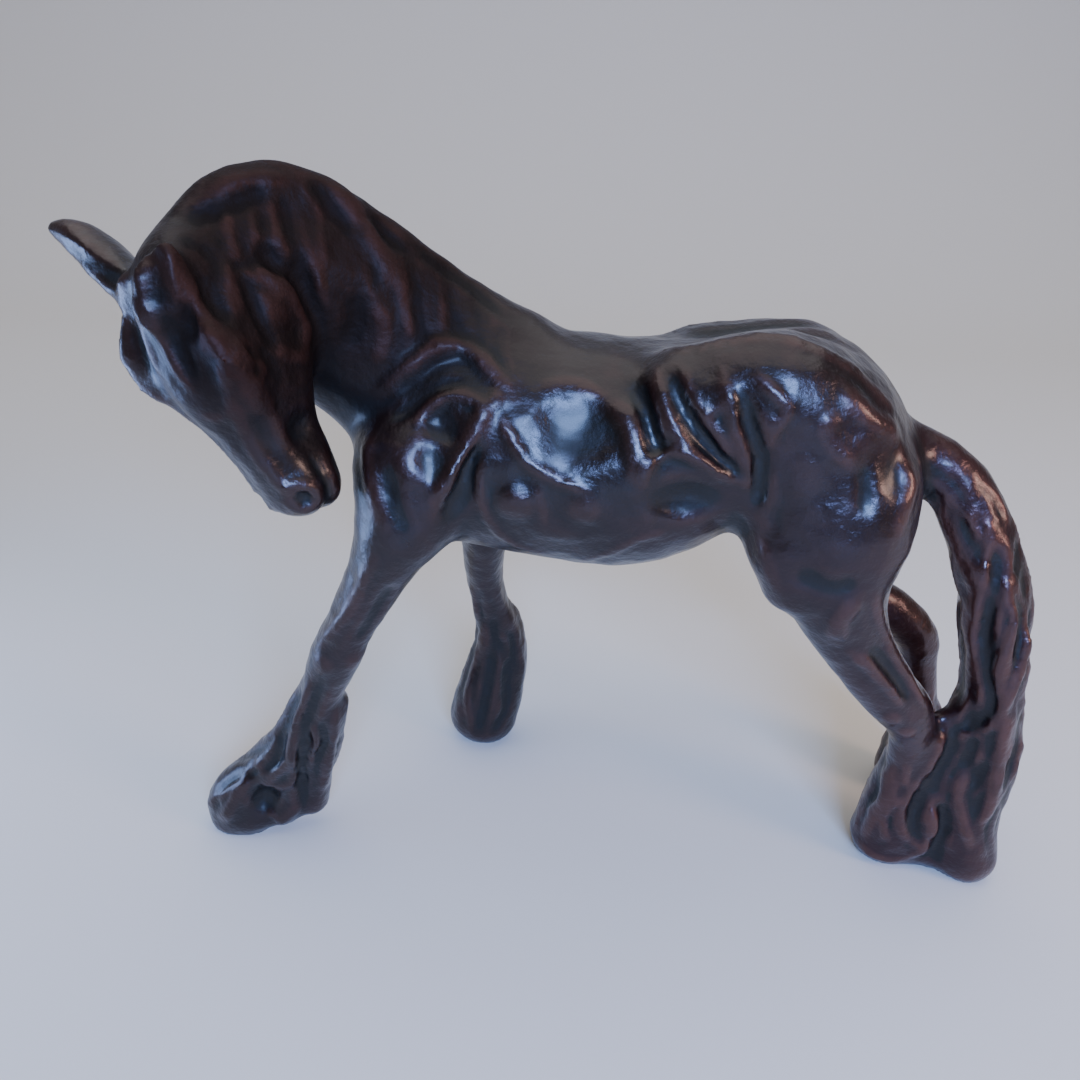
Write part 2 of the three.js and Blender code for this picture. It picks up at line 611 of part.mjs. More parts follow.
// Skin of the clay by marching tetrahedra: every grid cube is six tetrahedra around its
// long diagonal, which always gives a closed surface.
function skinOf(clay) {
  const points = [];
  const faces = [];
  const onEdge = new Map();
  const total = clay.values.length;
  const value = (at) => {
    const v = clay.values[at];
    return Math.abs(v) < 0.02 ? (v < 0 ? -0.02 : 0.02) : v;
  };
  const place = (at) => {
    const k = at % clay.count[2];
    const j = Math.floor(at / clay.count[2]) % clay.count[1];
    const i = Math.floor(at / (clay.count[2] * clay.count[1]));
    return add(clay.low, [i, j, k], clay.cell);
  };
  const crossing = (a, b) => {
    const key = Math.min(a, b) * total + Math.max(a, b);
    if (!onEdge.has(key)) {
      const t = value(a) / (value(a) - value(b));
      const [p, q] = [place(a), place(b)];
      onEdge.set(key, points.length);
      points.push(add(p, add(q, p, -1), t));
    }
    return onEdge.get(key);
  };
  // A face turned so that it looks from the inside corner to the outside corner
  const face = (ids, inside, outside) => {
    const [a, b, c] = ids.map((id) => points[id]);
    const normal = cross(add(b, a, -1), add(c, a, -1));
    const outward = add(place(outside), place(inside), -1);
    faces.push(dot(normal, outward) > 0 ? ids : [ids[0], ids[2], ids[1]]);
  };
  const paths = [[0, 1, 2], [0, 2, 1], [1, 0, 2], [1, 2, 0], [2, 0, 1], [2, 1, 0]];
  for (let i = 0; i + 1 < clay.count[0]; i++) {
    for (let j = 0; j + 1 < clay.count[1]; j++) {
      for (let k = 0; k + 1 < clay.count[2]; k++) {
        let below = 0;
        for (let c = 0; c < 8; c++) {
          below += clay.values[clay.index(i + (c & 1), j + ((c >> 1) & 1), k + (c >> 2))] < 0;
        }
        if (below === 0 || below === 8) continue;
        for (const path of paths) {
          const corner = [i, j, k];
          const tetra = [clay.index(...corner)];
          for (const axis of path) {
            corner[axis] += 1;
            tetra.push(clay.index(...corner));
          }
          const inner = tetra.filter((at) => value(at) < 0);
          const outer = tetra.filter((at) => value(at) >= 0);
          if (inner.length === 1) {
            face(outer.map((at) => crossing(inner[0], at)), inner[0], outer[0]);
          } else if (inner.length === 3) {
            face(inner.map((at) => crossing(at, outer[0])), inner[0], outer[0]);
          } else if (inner.length === 2) {
            const ring = [
              crossing(inner[0], outer[0]),
              crossing(inner[0], outer[1]),
              crossing(inner[1], outer[1]),
              crossing(inner[1], outer[0]),
            ];
            face([ring[0], ring[1], ring[2]], inner[0], outer[0]);
            face([ring[0], ring[2], ring[3]], inner[0], outer[0]);
          }
        }
      }
    }
  }
  return { points, faces };
}

// A queue that always gives the entry with the smallest cost first
class Queue {
  constructor() {
    this.items = [];
  }

  push(item) {
    const list = this.items;
    let at = list.push(item) - 1;
    while (at > 0) {
      const parent = (at - 1) >> 1;
      if (list[parent].cost <= list[at].cost) break;
      [list[parent], list[at]] = [list[at], list[parent]];
      at = parent;
    }
  }

  pop() {
    const list = this.items;
    const first = list[0];
    const last = list.pop();
    if (list.length === 0) return first;
    list[0] = last;
    let at = 0;
    for (;;) {
      let least = at;
      for (const child of [2 * at + 1, 2 * at + 2]) {
        if (child < list.length && list[child].cost < list[least].cost) least = child;
      }
      if (least === at) return first;
      [list[least], list[at]] = [list[at], list[least]];
      at = least;
    }
  }
}

// Takes facets away where the form changes least, one short edge at a time, by the error
// that the move makes against the planes of the facets around it (quadric errors).
function simplify({ points, faces }, budget) {
  const errors = points.map(() => new Float64Array(10));
  const around = points.map(() => new Set());
  const alive = faces.map(() => true);
  const stamp = new Int32Array(points.length);
  let left = faces.length;

  faces.forEach((ids, f) => {
    const [a, b, c] = ids.map((id) => points[id]);
    const raw = cross(add(b, a, -1), add(c, a, -1));
    const area = Math.hypot(...raw);
    if (area > 1e-12) {
      const n = raw.map((v) => v / area);
      const d = -dot(n, a);
      const plane = [...n, d];
      for (const id of ids) {
        let slot = 0;
        for (let r = 0; r < 4; r++) {
          for (let s = r; s < 4; s++) errors[id][slot++] += area * plane[r] * plane[s];
        }
      }
    }
    for (const id of ids) around[id].add(f);
  });

  const errorAt = (e, [x, y, z]) =>
    e[0] * x * x + 2 * e[1] * x * y + 2 * e[2] * x * z + 2 * e[3] * x +
    e[4] * y * y + 2 * e[5] * y * z + 2 * e[6] * y +
    e[7] * z * z + 2 * e[8] * z + e[9];

  const bestPoint = (e, a, b) => {
    const middle = add(a, b).map((v) => v / 2);
    const rows = [
      [e[0], e[1], e[2]],
      [e[1], e[4], e[5]],
      [e[2], e[5], e[7]],
    ];
    const right = [-e[3], -e[6], -e[8]];
    const size = dot(rows[0], cross(rows[1], rows[2]));
    const scale = (e[0] + e[4] + e[7]) / 3;
    const choices = [middle, a, b];
    if (Math.abs(size) > 1e-3 * scale ** 3) {
      const column = (k) => rows.map((row, r) => row.map((v, c) => (c === k ? right[r] : v)));
      const solved = [0, 1, 2].map((k) => {
        const m = column(k);
        return dot(m[0], cross(m[1], m[2])) / size;
      });
      if (Math.hypot(...add(solved, middle, -1)) < Math.hypot(...add(a, b, -1))) choices.push(solved);
    }
    let best = choices[0];
    for (const choice of choices) if (errorAt(e, choice) < errorAt(e, best)) best = choice;
    return best;
  };

  const neighbours = (v) => {
    const near = new Set();
    for (const f of around[v]) for (const id of faces[f]) if (id !== v) near.add(id);
    return near;
  };

  const queue = new Queue();
  const offer = (a, b) => {
    const e = errors[a].map((v, k) => v + errors[b][k]);
    const target = bestPoint(e, points[a], points[b]);
    const long2 = dot(add(points[a], points[b], -1), add(points[a], points[b], -1));
    const cost = errorAt(e, target) + 1e-4 * long2;
    queue.push({ cost, a, b, target, age: stamp[a] + stamp[b] });
  };
  const offerAll = () =>
    points.forEach((_, v) => {
      for (const other of neighbours(v)) if (v < other) offer(v, other);
    });

  // How far a facet is from a sliver: its doubled area over its longest side squared
  const fairness = (corners, area) => {
    const sides = [0, 1, 2].map((k) => Math.hypot(...add(corners[k], corners[(k + 1) % 3], -1)));
    return area / Math.max(...sides, 1e-9) ** 2;
  };

  // A move may not fold a facet over, nor make it a sliver that it was not before
  const stays = (v, other, target) => {
    for (const f of around[v]) {
      if (faces[f].includes(other)) continue;
      const before = faces[f].map((id) => points[id]);
      const after = faces[f].map((id) => (id === v ? target : points[id]));
      const n0 = cross(add(before[1], before[0], -1), add(before[2], before[0], -1));
      const n1 = cross(add(after[1], after[0], -1), add(after[2], after[0], -1));
      const [area0, area1] = [Math.hypot(...n0), Math.hypot(...n1)];
      if (area0 > 0.02 && dot(n0, n1) < 0.25 * area0 * area1) return false;
      const fair = fairness(after, area1);
      if (fair < 0.12 && fair < 0.6 * fairness(before, area0)) return false;
    }
    return true;
  };

  let leftAtOffer = Infinity;
  while (left > budget) {
    // Edges that had to stay may be free to go once their surroundings have changed
    if (!queue.items.length) {
      if (left === leftAtOffer) break;
      leftAtOffer = left;
      offerAll();
    }
    const { a, b, target, age } = queue.pop();
    if (!around[a].size || !around[b].size || age !== stamp[a] + stamp[b]) continue;
    const nearB = neighbours(b);
    if (!nearB.has(a)) continue;
    const shared = [...neighbours(a)].filter((id) => nearB.has(id));
    if (shared.length !== 2 || !stays(a, b, target) || !stays(b, a, target)) continue;
    for (const f of [...around[b]]) {
      if (faces[f].includes(a)) {
        alive[f] = false;
        left -= 1;
        for (const id of faces[f]) around[id].delete(f);
      } else {
        faces[f] = faces[f].map((id) => (id === b ? a : id));
        around[a].add(f);
      }
    }
    around[b].clear();
    points[a] = target;
    errors[a].forEach((_, k) => (errors[a][k] += errors[b][k]));
    stamp[a] += 1;
    stamp[b] += 1;
    for (const other of neighbours(a)) offer(Math.min(a, other), Math.max(a, other));
  }

  const renumber = new Map();
  const keptPoints = [];
  const keptFaces = faces.filter((_, f) => alive[f]).map((ids) =>
    ids.map((id) => {
      if (!renumber.has(id)) renumber.set(id, keptPoints.push(points[id]) - 1);
      return renumber.get(id);
    })
  );
  return { points: keptPoints, faces: keptFaces };
}

// The soles are filed flat in one plane, so that the horse stands without rocking
function fileSoles(wasm, { points, faces }) {
  const rough = new wasm.Mesh({
    numProp: 3,
    vertProperties: Float32Array.from(points.flat()),
    triVerts: Uint32Array.from(faces.flat()),
  });
  const block = new THREE.BoxGeometry(2 * fileSize, 2 * fileSize, fileSize).toNonIndexed();
  block.translate(0, 0, soleCut - fileSize / 2);
  const corners = block.getAttribute("position").array;
  const tool = new wasm.Mesh({
    numProp: 3,
    vertProperties: Float32Array.from(corners),
    triVerts: Uint32Array.from(corners.slice(0, corners.length / 3), (_, n) => n),
  });
  tool.merge();
  const filed = new wasm.Manifold(rough).subtract(new wasm.Manifold(tool));
  const biggest = filed.decompose().sort((a, b) => b.volume() - a.volume())[0];
  return biggest.getMesh();
}

function geometryOf(mesh) {
  const geometry = new THREE.BufferGeometry();
  const flat = [];
  for (let v = 0; v < mesh.numVert; v++) {
    const start = v * mesh.numProp;
    flat.push(...mesh.vertProperties.slice(start, start + 3));
  }
  geometry.setAttribute("position", new THREE.Float32BufferAttribute(flat, 3));
  geometry.setIndex([...mesh.triVerts]);
  // Bottom centre of the figure goes to the origin, and the drawn height to the real one
  geometry.computeBoundingBox();
  const box = geometry.boundingBox;
  geometry.translate(-(box.min.x + box.max.x) / 2, -(box.min.y + box.max.y) / 2, -box.min.z);
  const grow = horseHeight / drawnHeight;
  geometry.scale(grow, grow, grow);
  geometry.computeVertexNormals();
  return geometry;
}

const wasm = await Module();
wasm.setup();

const clay = new Clay(lowCorner, highCorner, clayCell);
layBody(clay);
layHead(clay);
layLegs(clay);
clay.mass(tail, 3);
clay.mass(tailWeb, 4);
carveMuscles(clay);
carveHead(clay);
carveMane(clay);
carveTail(clay);
carveLegs(clay);

const cast = simplify(skinOf(clay), triangleBudget);
const horse = new THREE.Mesh(
  geometryOf(fileSoles(wasm, cast)),
  new THREE.MeshStandardMaterial({ ...bronze, flatShading: true })
);
horse.name = "horse";

const group = new THREE.Group();
group.add(horse);
export default group;
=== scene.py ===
# %% [markdown]
# # A bronze horse, worked up in clay and cast
# The object is one small bronze: a heavy horse that arches its neck and turns its head to
# its left side. It stands on four feathered feet and on the end of its tail. There is one
# piece only, so the lesson is about form first and about the waxed patina second.
# Everything is in metres and sits in the packed part's own frame.

import math

import bpy
import numpy as np
import openvdb
from mathutils import Matrix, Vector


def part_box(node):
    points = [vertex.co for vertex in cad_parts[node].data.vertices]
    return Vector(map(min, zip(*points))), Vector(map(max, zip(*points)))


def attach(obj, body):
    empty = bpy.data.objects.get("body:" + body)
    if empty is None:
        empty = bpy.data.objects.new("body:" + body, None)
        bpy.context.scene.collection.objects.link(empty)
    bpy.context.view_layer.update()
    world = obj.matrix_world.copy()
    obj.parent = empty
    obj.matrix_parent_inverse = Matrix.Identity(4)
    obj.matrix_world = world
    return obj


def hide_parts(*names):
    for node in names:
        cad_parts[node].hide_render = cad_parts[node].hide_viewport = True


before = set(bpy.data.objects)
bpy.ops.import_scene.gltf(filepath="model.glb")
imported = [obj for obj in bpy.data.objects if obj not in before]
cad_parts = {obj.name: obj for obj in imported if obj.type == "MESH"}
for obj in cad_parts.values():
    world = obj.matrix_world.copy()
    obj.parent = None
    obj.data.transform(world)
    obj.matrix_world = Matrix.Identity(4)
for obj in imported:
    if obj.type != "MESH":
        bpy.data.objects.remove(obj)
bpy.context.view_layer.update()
horse_low, horse_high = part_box("horse")
print("solid horse, mm:", [round(1000 * (b - a), 1) for a, b in zip(horse_low, horse_high)])

# %% [markdown]
# ## The clay
# On the real object the sculptor built the form from lumps of clay, blended the joints with
# a thumb and then cut and pressed the detail in. Blender could do this by sculpting, but a
# script can't hold a brush. Metaballs come close, though they take no grooves. A grid of
# distances does both: lumps are joined softly with one formula, and lines and thumb marks
# are added to the same numbers. The grid is in millimetres, as the solid was drawn. Its
# soles lie at -1.2, and the middle of the body is at y = 4.

# %% Clay as a grid of distances
clay_cell = 0.81
low_corner = (-104, -46, -6)
high_corner = (112, 56, 156)
sole_height = -1.2
mid_plane = 4
far_away = 30.0


def smooth_run(stations, steps):
    """A Catmull-Rom run through stations: a point and any sizes that change with it."""
    given = np.array(stations, float)
    ends = np.vstack([2 * given[0] - given[1], given, 2 * given[-1] - given[-2]])
    run = []
    for p, q, r, s in zip(ends, ends[1:], ends[2:], ends[3:]):
        for t in np.arange(steps) / steps:
            bend = (2 * p - 5 * q + 4 * r - s) * t * t + (3 * q - p - 3 * r + s) * t**3
            run.append(0.5 * (2 * q + (r - p) * t + bend))
    return np.array(run + [given[-1]])


class Clay:
    """Distances on a grid: below zero inside the figure, above zero in the air."""

    def __init__(self, low, high, cell):
        self.low = np.array(low, float)
        self.cell = cell
        self.count = np.ceil((np.array(high) - self.low) / cell).astype(int) + 1
        self.values = np.full(self.count, far_away, np.float32)
        self.axes = [
            (self.low[k] + cell * np.arange(self.count[k])).astype(np.float32)
            for k in range(3)
        ]

    def window(self, low, high):
        """Slices of the grid that hold a box, and the open coordinates of its points."""
        start = np.floor((np.array(low) - self.low) / self.cell).astype(int)
        stop = np.ceil((np.array(high) - self.low) / self.cell).astype(int) + 1
        start = np.clip(start, 0, self.count - 1)
        stop = np.clip(stop, start + 1, self.count)
        cut = tuple(slice(int(a), int(b)) for a, b in zip(start, stop))
        x, y, z = (axis[part] for axis, part in zip(self.axes, cut))
        return cut, (x[:, None, None], y[None, :, None], z[None, None, :])

    def at(self, points):
        """Distance at any points, between the grid points."""
        place = np.clip((points - self.low) / self.cell, 0, self.count - 1.001)
        base = place.astype(int)
        part = place - base
        total = np.zeros(len(points))
        for corner in range(8):
            step = np.array([corner & 1, corner >> 1 & 1, corner >> 2])
            share = np.where(step, part, 1 - part).prod(1)
            i, j, k = (base + step).T
            total += share * self.values[i, j, k]
        return total

    def slope(self, points):
        """Direction in which the distance grows, which is outwards on the skin."""
        reach = 0.75 * self.cell
        sides = [self.at(points + e) - self.at(points - e) for e in np.eye(3) * reach]
        return np.stack(sides, 1) / (2 * reach)

    def on_skin(self, points):
        """Moves points onto the skin."""
        points = np.array(points, float)
        for _ in range(6):
            slope = self.slope(points)
            push = self.at(points) / np.maximum((slope**2).sum(1), 0.05)
            points = points - np.clip(push, -3, 3)[:, None] * slope
        return points


clay = Clay(low_corner, high_corner, clay_cell)
print("clay grid:", clay.values.shape, "points:", clay.values.size)

# %% [markdown]
# ## Lumps
# A lump is an oval rod that follows a path and changes its width and depth on the way, as
# a leg or a neck does. Tubes from curves would give the same rods, but not the soft joints
# between them. Each rod is measured only in the part of the grid that it can reach.


# %% Lumps of clay
def add_mass(clay, stations, blend, side=(0, 1, 0)):
    """Adds a rod through stations x, y, z, half width along side, half depth."""
    run = smooth_run(stations, 4)
    reach = blend + 1.5 * clay.cell + 1
    sizes = np.maximum(run[1:, 3:5].max(1), run[:-1, 3:5].max(1))[:, None] + reach
    low = (np.minimum(run[1:, :3], run[:-1, :3]) - sizes).min(0)
    high = (np.maximum(run[1:, :3], run[:-1, :3]) + sizes).max(0)
    whole, _ = clay.window(low, high)
    own = np.full([part.stop - part.start for part in whole], far_away, np.float32)
    for a, b, size in zip(run, run[1:], sizes):
        cut, spots = clay.window(np.minimum(a, b)[:3] - size, np.maximum(a, b)[:3] + size)
        along = b[:3] - a[:3]
        length = max(np.linalg.norm(along), 1e-6)
        axis = along / length
        across = np.array(side) - (np.array(side) @ axis) * axis
        across = across / np.linalg.norm(across)
        upward = np.cross(axis, across)
        offset = [spot - start for spot, start in zip(spots, a)]
        reached = sum(o * k for o, k in zip(offset, axis))
        t = np.clip(reached / length, 0, 1)
        width = a[3] + (b[3] - a[3]) * t
        depth = a[4] + (b[4] - a[4]) * t
        small = np.minimum(width, depth)
        u = sum(o * k for o, k in zip(offset, across))
        v = sum(o * k for o, k in zip(offset, upward))
        w = reached - t * length
        k0 = np.sqrt((u / width) ** 2 + (v / depth) ** 2 + (w / small) ** 2)
        k1 = np.sqrt((u / width**2) ** 2 + (v / depth**2) ** 2 + (w / small**2) ** 2)
        local = tuple(
            slice(c.start - p.start, c.stop - p.start) for c, p in zip(cut, whole)
        )
        here = own[local]
        np.minimum(here, k0 * (k0 - 1) / np.maximum(k1, 1e-4), out=here)
    there = clay.values[whole]
    soft = np.maximum(blend - np.abs(there - own), 0) / blend
    clay.values[whole] = np.minimum(there, own) - soft * soft * blend * 0.25


print("first tool:", add_mass.__doc__)

# %% [markdown]
# ## Lines and thumb marks
# A line is drawn on the skin and either raised or pushed in, with ends that fade, and it
# can have one steep side, as the edge of a muscle has. A thumb mark is a round hollow, or
# a bump where its depth is below zero. Both find the skin by themselves, so their points
# only have to be near it, and they still fit when a lump under them changes.

# %% Lines and thumb marks
compass = {"back": (1, 0, 0), "front": (-1, 0, 0), "up": (0, 0, 1), "down": (0, 0, -1)}


def draw_line(clay, points, width, height, steep=None, steps=6):
    """Raises a line on the skin, or pushes it in where height is below zero.

    Where steep names a direction, the line falls off there in less than half its width.
    """
    run = clay.on_skin(smooth_run(points, steps))
    whole, _ = clay.window(run.min(0) - width, run.max(0) + width)
    shape = [part.stop - part.start for part in whole]
    nearest = np.full(shape, 1e9, np.float32)
    place = np.zeros(shape, np.float32)
    beyond = np.zeros(shape, bool)
    for n, (a, b) in enumerate(zip(run, run[1:])):
        cut, spots = clay.window(np.minimum(a, b) - width, np.maximum(a, b) + width)
        local = tuple(slice(c.start - p.start, c.stop - p.start) for c, p in zip(cut, whole))
        along = b - a
        offset = [spot - start for spot, start in zip(spots, a)]
        t = sum(o * k for o, k in zip(offset, along)) / max(along @ along, 1e-9)
        t = np.clip(t, 0, 1)
        across = [o - t * k for o, k in zip(offset, along)]
        gap2 = sum(o**2 for o in across)
        closer = gap2 < nearest[local]
        nearest[local] = np.where(closer, gap2, nearest[local])
        place[local] = np.where(closer, (n + t) / (len(run) - 1), place[local])
        if steep:
            falls = sum(o * k for o, k in zip(across, compass[steep])) > 0
            beyond[local] = np.where(closer, falls, beyond[local])
    reach = np.where(beyond, 0.42 * width, width)
    near = 1 - np.minimum(nearest / reach**2, 1)
    fade = np.minimum(np.minimum(place, 1 - place) * 4 + 0.2, 1)
    clay.values[whole] -= height * near**2 * fade


def press_thumb(clay, centre, size, depth):
    """Presses a round hollow, or raises a bump where depth is below zero."""
    middle = clay.on_skin([centre])[0]
    cut, spots = clay.window(middle - size, middle + size)
    gap2 = sum(((spot - c) / s) ** 2 for spot, c, s in zip(spots, middle, size))
    clay.values[cut] += depth * (1 - np.minimum(gap2, 1)) ** 2


print("lines can be steep towards:", list(compass))

# %% [markdown]
# ## The body and the neck
# The barrel of the horse hangs between shoulder and croup, and the croup has two halves
# with a dip between them. The neck is one deep lump with a thin crest on it that carries
# the mane. Each row is a station: a point in millimetres, then half width and half depth.

# %% Body and neck
barrel = [
    (-33.6, -2, 99.4, 13.6, 14),
    (-26, 2, 101.3, 19, 21.2),
    (-8, 4, 99, 22, 22.6),
    (5, 4, 98.4, 22.5, 22.4),
    (20, 4, 102.7, 21, 18.8),
    (36, 4, 103.5, 19.5, 20),
]

rump = [
    (34, 4, 104, 18, 18.5),
    (44, 4, 100.6, 16.5, 15.2),
    (50.5, 3, 97, 13, 12.4),
]

near_croup = [
    (14, -8, 114, 8, 9),
    (28, -9, 116, 10, 11),
    (39.5, -9, 110.5, 10, 9.6),
]

far_croup = [
    (20, 14, 112.5, 8, 8.2),
    (37.5, 15, 112.2, 9, 10),
]

neck = [
    (-22, 3, 106, 14, 17.5),
    (-34, 2, 112, 12.5, 17.5),
    (-45, 0, 120, 10.5, 16.5),
    (-54, -5, 128, 9, 14),
    (-63, -13, 133.5, 8, 10),
]

crest = [
    (-18, 4, 118.4, 6, 6.6),
    (-32, 3, 127.7, 5, 6),
    (-44, 1, 137.4, 5, 5.3),
    (-55, -4, 144.6, 5, 5.2),
    (-63.7, -10, 144.4, 5, 5.2),
    (-70, -16, 138.4, 4.8, 4.8),
]

near_breast = [(-37.4, -9, 98, 8.6, 8.8), (-37, -10, 90, 9, 8.4)]
far_breast = [(-38.5, 9, 98, 8, 9.4), (-35.5, 10, 90, 9, 8.8)]

for stations, blend in (
    (barrel, 2),
    (rump, 6),
    (near_croup, 7),
    (far_croup, 7),
    (neck, 5),
    (crest, 5),
    (near_breast, 5),
    (far_breast, 5),
):
    add_mass(clay, stations, blend)
print("body laid:", int((clay.values < 0).sum() * clay_cell**3 / 1000), "cubic cm")

# %% [markdown]
# ## The head
# The head is turned, so it gets a frame of its own: down the nose, towards the near cheek
# and out of the forehead, all from the poll between the ears. In that frame the head is
# symmetrical, and both sides come from one loop.

# %% Head
poll = np.array([-72.5, -23, 137.3])


def unit(vector):
    return np.array(vector, float) / np.linalg.norm(vector)


down_nose = unit([0.39, 0.06, -0.92])
lean_cheek = np.array([0.8, -0.52, 0.29])
to_cheek = unit(lean_cheek - (lean_cheek @ down_nose) * down_nose)
to_brow = np.cross(down_nose, to_cheek)


def head_point(down, cheek, brow):
    return poll + down * down_nose + cheek * to_cheek + brow * to_brow


def on_head(rows, mirror=1):
    """Stations given in the head's own frame: down, cheek, brow, half width, half depth."""
    return [[*head_point(d, mirror * c, b), w, h] for d, c, b, w, h in rows]


skull = [
    (4.5, 0.5, -3, 7.6, 7.4),
    (11, 0, -2.5, 10, 10),
    (18, 0, -1.6, 10.4, 10),
    (26, 0, -1.4, 7.6, 7.8),
    (34, 0.2, -1, 6, 6.2),
    (42, 0.6, -1.4, 6.8, 5.8),
]
jowl = [(12, 4.8, -8, 4.6, 9), (20, 4.8, -7, 4.6, 8.6), (27.5, 3.8, -5.5, 4, 6)]
brow_bone = [(13, 9.4, 3.6, 3, 2.8), (17.5, 10.2, 3, 3.2, 3), (24, 7.6, 2.2, 2.2, 2)]
lower_jaw = [
    (22, 0, -8.6, 5, 6),
    (32, 0.4, -7.6, 4.6, 4.4),
    (40, 1, -5.8, 4.9, 4.1),
    (44.4, 1.4, -4.6, 4.5, 3.8),
]
far_lock = [
    (2, -5.4, 2.6, 2, 2.2),
    (8, -7.8, 3.6, 2, 2.4),
    (14, -10.4, 4.6, 2.2, 2.6),
    (19, -8.6, 4, 2, 2.4),
]
near_ear = [
    (-69, -29, 131.6, 4.6, 3.6),
    (-68.4, -29.6, 136.4, 4, 3),
    (-67.8, -29.4, 140.8, 2, 1.6),
]
far_ear = [
    (-78.5, -17, 131.2, 4.2, 3.4),
    (-84, -13, 134.6, 5, 3.4),
    (-90, -10, 138, 3.6, 2.8),
    (-94.6, -9, 139, 1.4, 1.2),
]

add_mass(clay, on_head(skull), 3, to_cheek)
for mirror in (-1, 1):
    add_mass(clay, on_head(jowl, mirror), 2.5, to_cheek)
    add_mass(clay, on_head(brow_bone, mirror), 2.5, to_cheek)
add_mass(clay, on_head(lower_jaw), 3, to_cheek)
add_mass(clay, on_head(far_lock), 2.5, to_cheek)
add_mass(clay, far_ear, 2.5)
add_mass(clay, near_ear, 2.5, (1, 0.3, 0))
print("head laid, nose at", np.round(head_point(47, 0, 0), 1))

# %% [markdown]
# ## Legs and tail
# Each leg is one lump from its root in the body down to the hoof. It narrows at the
# cannon and widens again where the feather hangs over the hoof. The tail leaves the
# croup in an arch and comes down to the ground, where it helps to carry the horse.

# %% Legs and tail
near_foreleg = [
    (-34.4, -10, 100, 9.5, 11.4),
    (-38.8, -12, 87.6, 9, 8.2),
    (-42.8, -11.5, 78.5, 7.2, 6.3),
    (-46.8, -10.5, 70, 6.2, 5.6),
    (-50.5, -9.5, 62.5, 5.6, 5.2),
    (-53.8, -8.5, 55, 5.6, 5.6),
    (-57.5, -7, 46, 5, 4.8),
    (-61.5, -5.5, 37, 4.8, 5),
    (-66.5, -4, 27, 5.2, 5.6),
    (-74, -2, 17, 6, 5.6),
    (-81.2, -1.8, 8.6, 6.6, 7.2),
    (-80.2, -1.4, 3.6, 7, 10.6),
]

fore_feather = [
    (-57, -5, 38, 4, 4),
    (-59.5, -3.5, 27, 4.2, 4),
    (-62.4, -2, 17, 4.4, 4),
    (-64.6, -0.6, 6.4, 4.4, 4),
]

far_foreleg = [
    (-32, 13, 98, 10, 13),
    (-27, 17, 84, 8.5, 9.5),
    (-25, 20, 72, 6.5, 6),
    (-25.2, 23.5, 62, 5.4, 5),
    (-25, 27, 54, 5.2, 4.6),
    (-23.8, 30, 46, 5, 4.3),
    (-22.3, 33, 36, 5.5, 6.3),
    (-22, 35, 26, 7, 8),
    (-24, 35.4, 14, 7.8, 9.2),
    (-25.8, 35, 5, 8, 9.4),
]

near_hind_leg = [
    (38, -7, 104, 12, 15),
    (41.5, -9.5, 94, 12.5, 15.1),
    (44, -11, 84, 11, 12.1),
    (47, -11.5, 75, 8.5, 9.2),
    (52.9, -11.5, 64.5, 6.3, 7),
    (60.3, -11, 55, 5.4, 6.3),
    (66.7, -10, 48, 5, 5.9),
    (70.5, -8, 41, 4.6, 4.8),
    (72.2, -6, 33, 4.6, 4.6),
    (73.2, -4, 26, 5.6, 5.2),
    (74.6, -2.4, 16, 7, 6.8),
    (75.6, -1.8, 9, 8, 8.2),
    (75.8, -1.2, 3.8, 7.8, 9),
]

far_hind_leg = [
    (40, 14, 105, 12, 14),
    (43, 17, 94, 12, 15),
    (45, 18, 84, 10.5, 11.9),
    (49.6, 18, 73.2, 8, 8.2),
    (58.4, 17.5, 62.8, 6, 5.3),
    (70.5, 17.5, 56.5, 5, 5.2),
    (79, 18, 48.5, 5, 5.2),
    (81.5, 19, 40, 4.6, 4.8),
    (84.6, 20, 30, 5, 4.6),
    (87.2, 21, 22, 6, 5),
    (87.5, 22, 12, 7, 6.5),
    (87.6, 22, 4, 7.4, 7.4),
]

fore_web = [(-66, -4, 24, 3.6, 4), (-70, -3, 13, 3.8, 4.6), (-71, -2.5, 5, 4, 4.6)]
near_thigh_back = [(46.5, -11, 92, 9.5, 9.8), (48.5, -9, 99, 10, 8)]
near_thigh_front = [(33.2, -13, 87, 6.5, 6), (36.2, -13, 80, 6, 5.5)]

tail = [
    (52, 3, 104, 4, 4),
    (61, 2, 101.9, 5, 5.2),
    (68, 0, 97.4, 5.4, 5.8),
    (73.8, -2, 89.6, 6, 6.4),
    (78.9, -4, 79, 6.8, 6.7),
    (82.5, -5, 67, 7.2, 7.1),
    (85.4, -6, 54, 7.2, 6.3),
    (88.3, -6, 42, 7, 6.4),
    (90, -6, 29, 7.6, 6.6),
    (90.3, -6, 15, 7.2, 6.8),
    (92.6, -6.8, 3.6, 7, 7),
]

tail_web = [
    (85, -6, 49, 4, 3.6),
    (81.5, -6, 41, 4, 5),
    (80, -5, 30, 5, 6),
    (81.5, -4, 16, 6, 6.4),
    (85, -3.6, 4, 6, 6.6),
]

for stations, blend in (
    (near_foreleg, 3.5),
    (fore_feather, 3),
    (fore_web, 3),
    (far_foreleg, 4),
    (near_hind_leg, 4),
    (near_thigh_back, 6),
    (near_thigh_front, 4),
    (far_hind_leg, 4),
    (tail, 3),
    (tail_web, 4),
):
    add_mass(clay, stations, blend)
print("legs and tail laid:", int((clay.values < 0).sum() * clay_cell**3 / 1000), "cubic cm")

# %% [markdown]
# ## Smoothing the lumps
# Where rods of different width meet, a faint ring stays in the clay. A sculptor wipes it
# away with a wet thumb. Here the grid is averaged with its neighbours, which does the same,
# and it has to come before the carving, because it would wipe that away too.


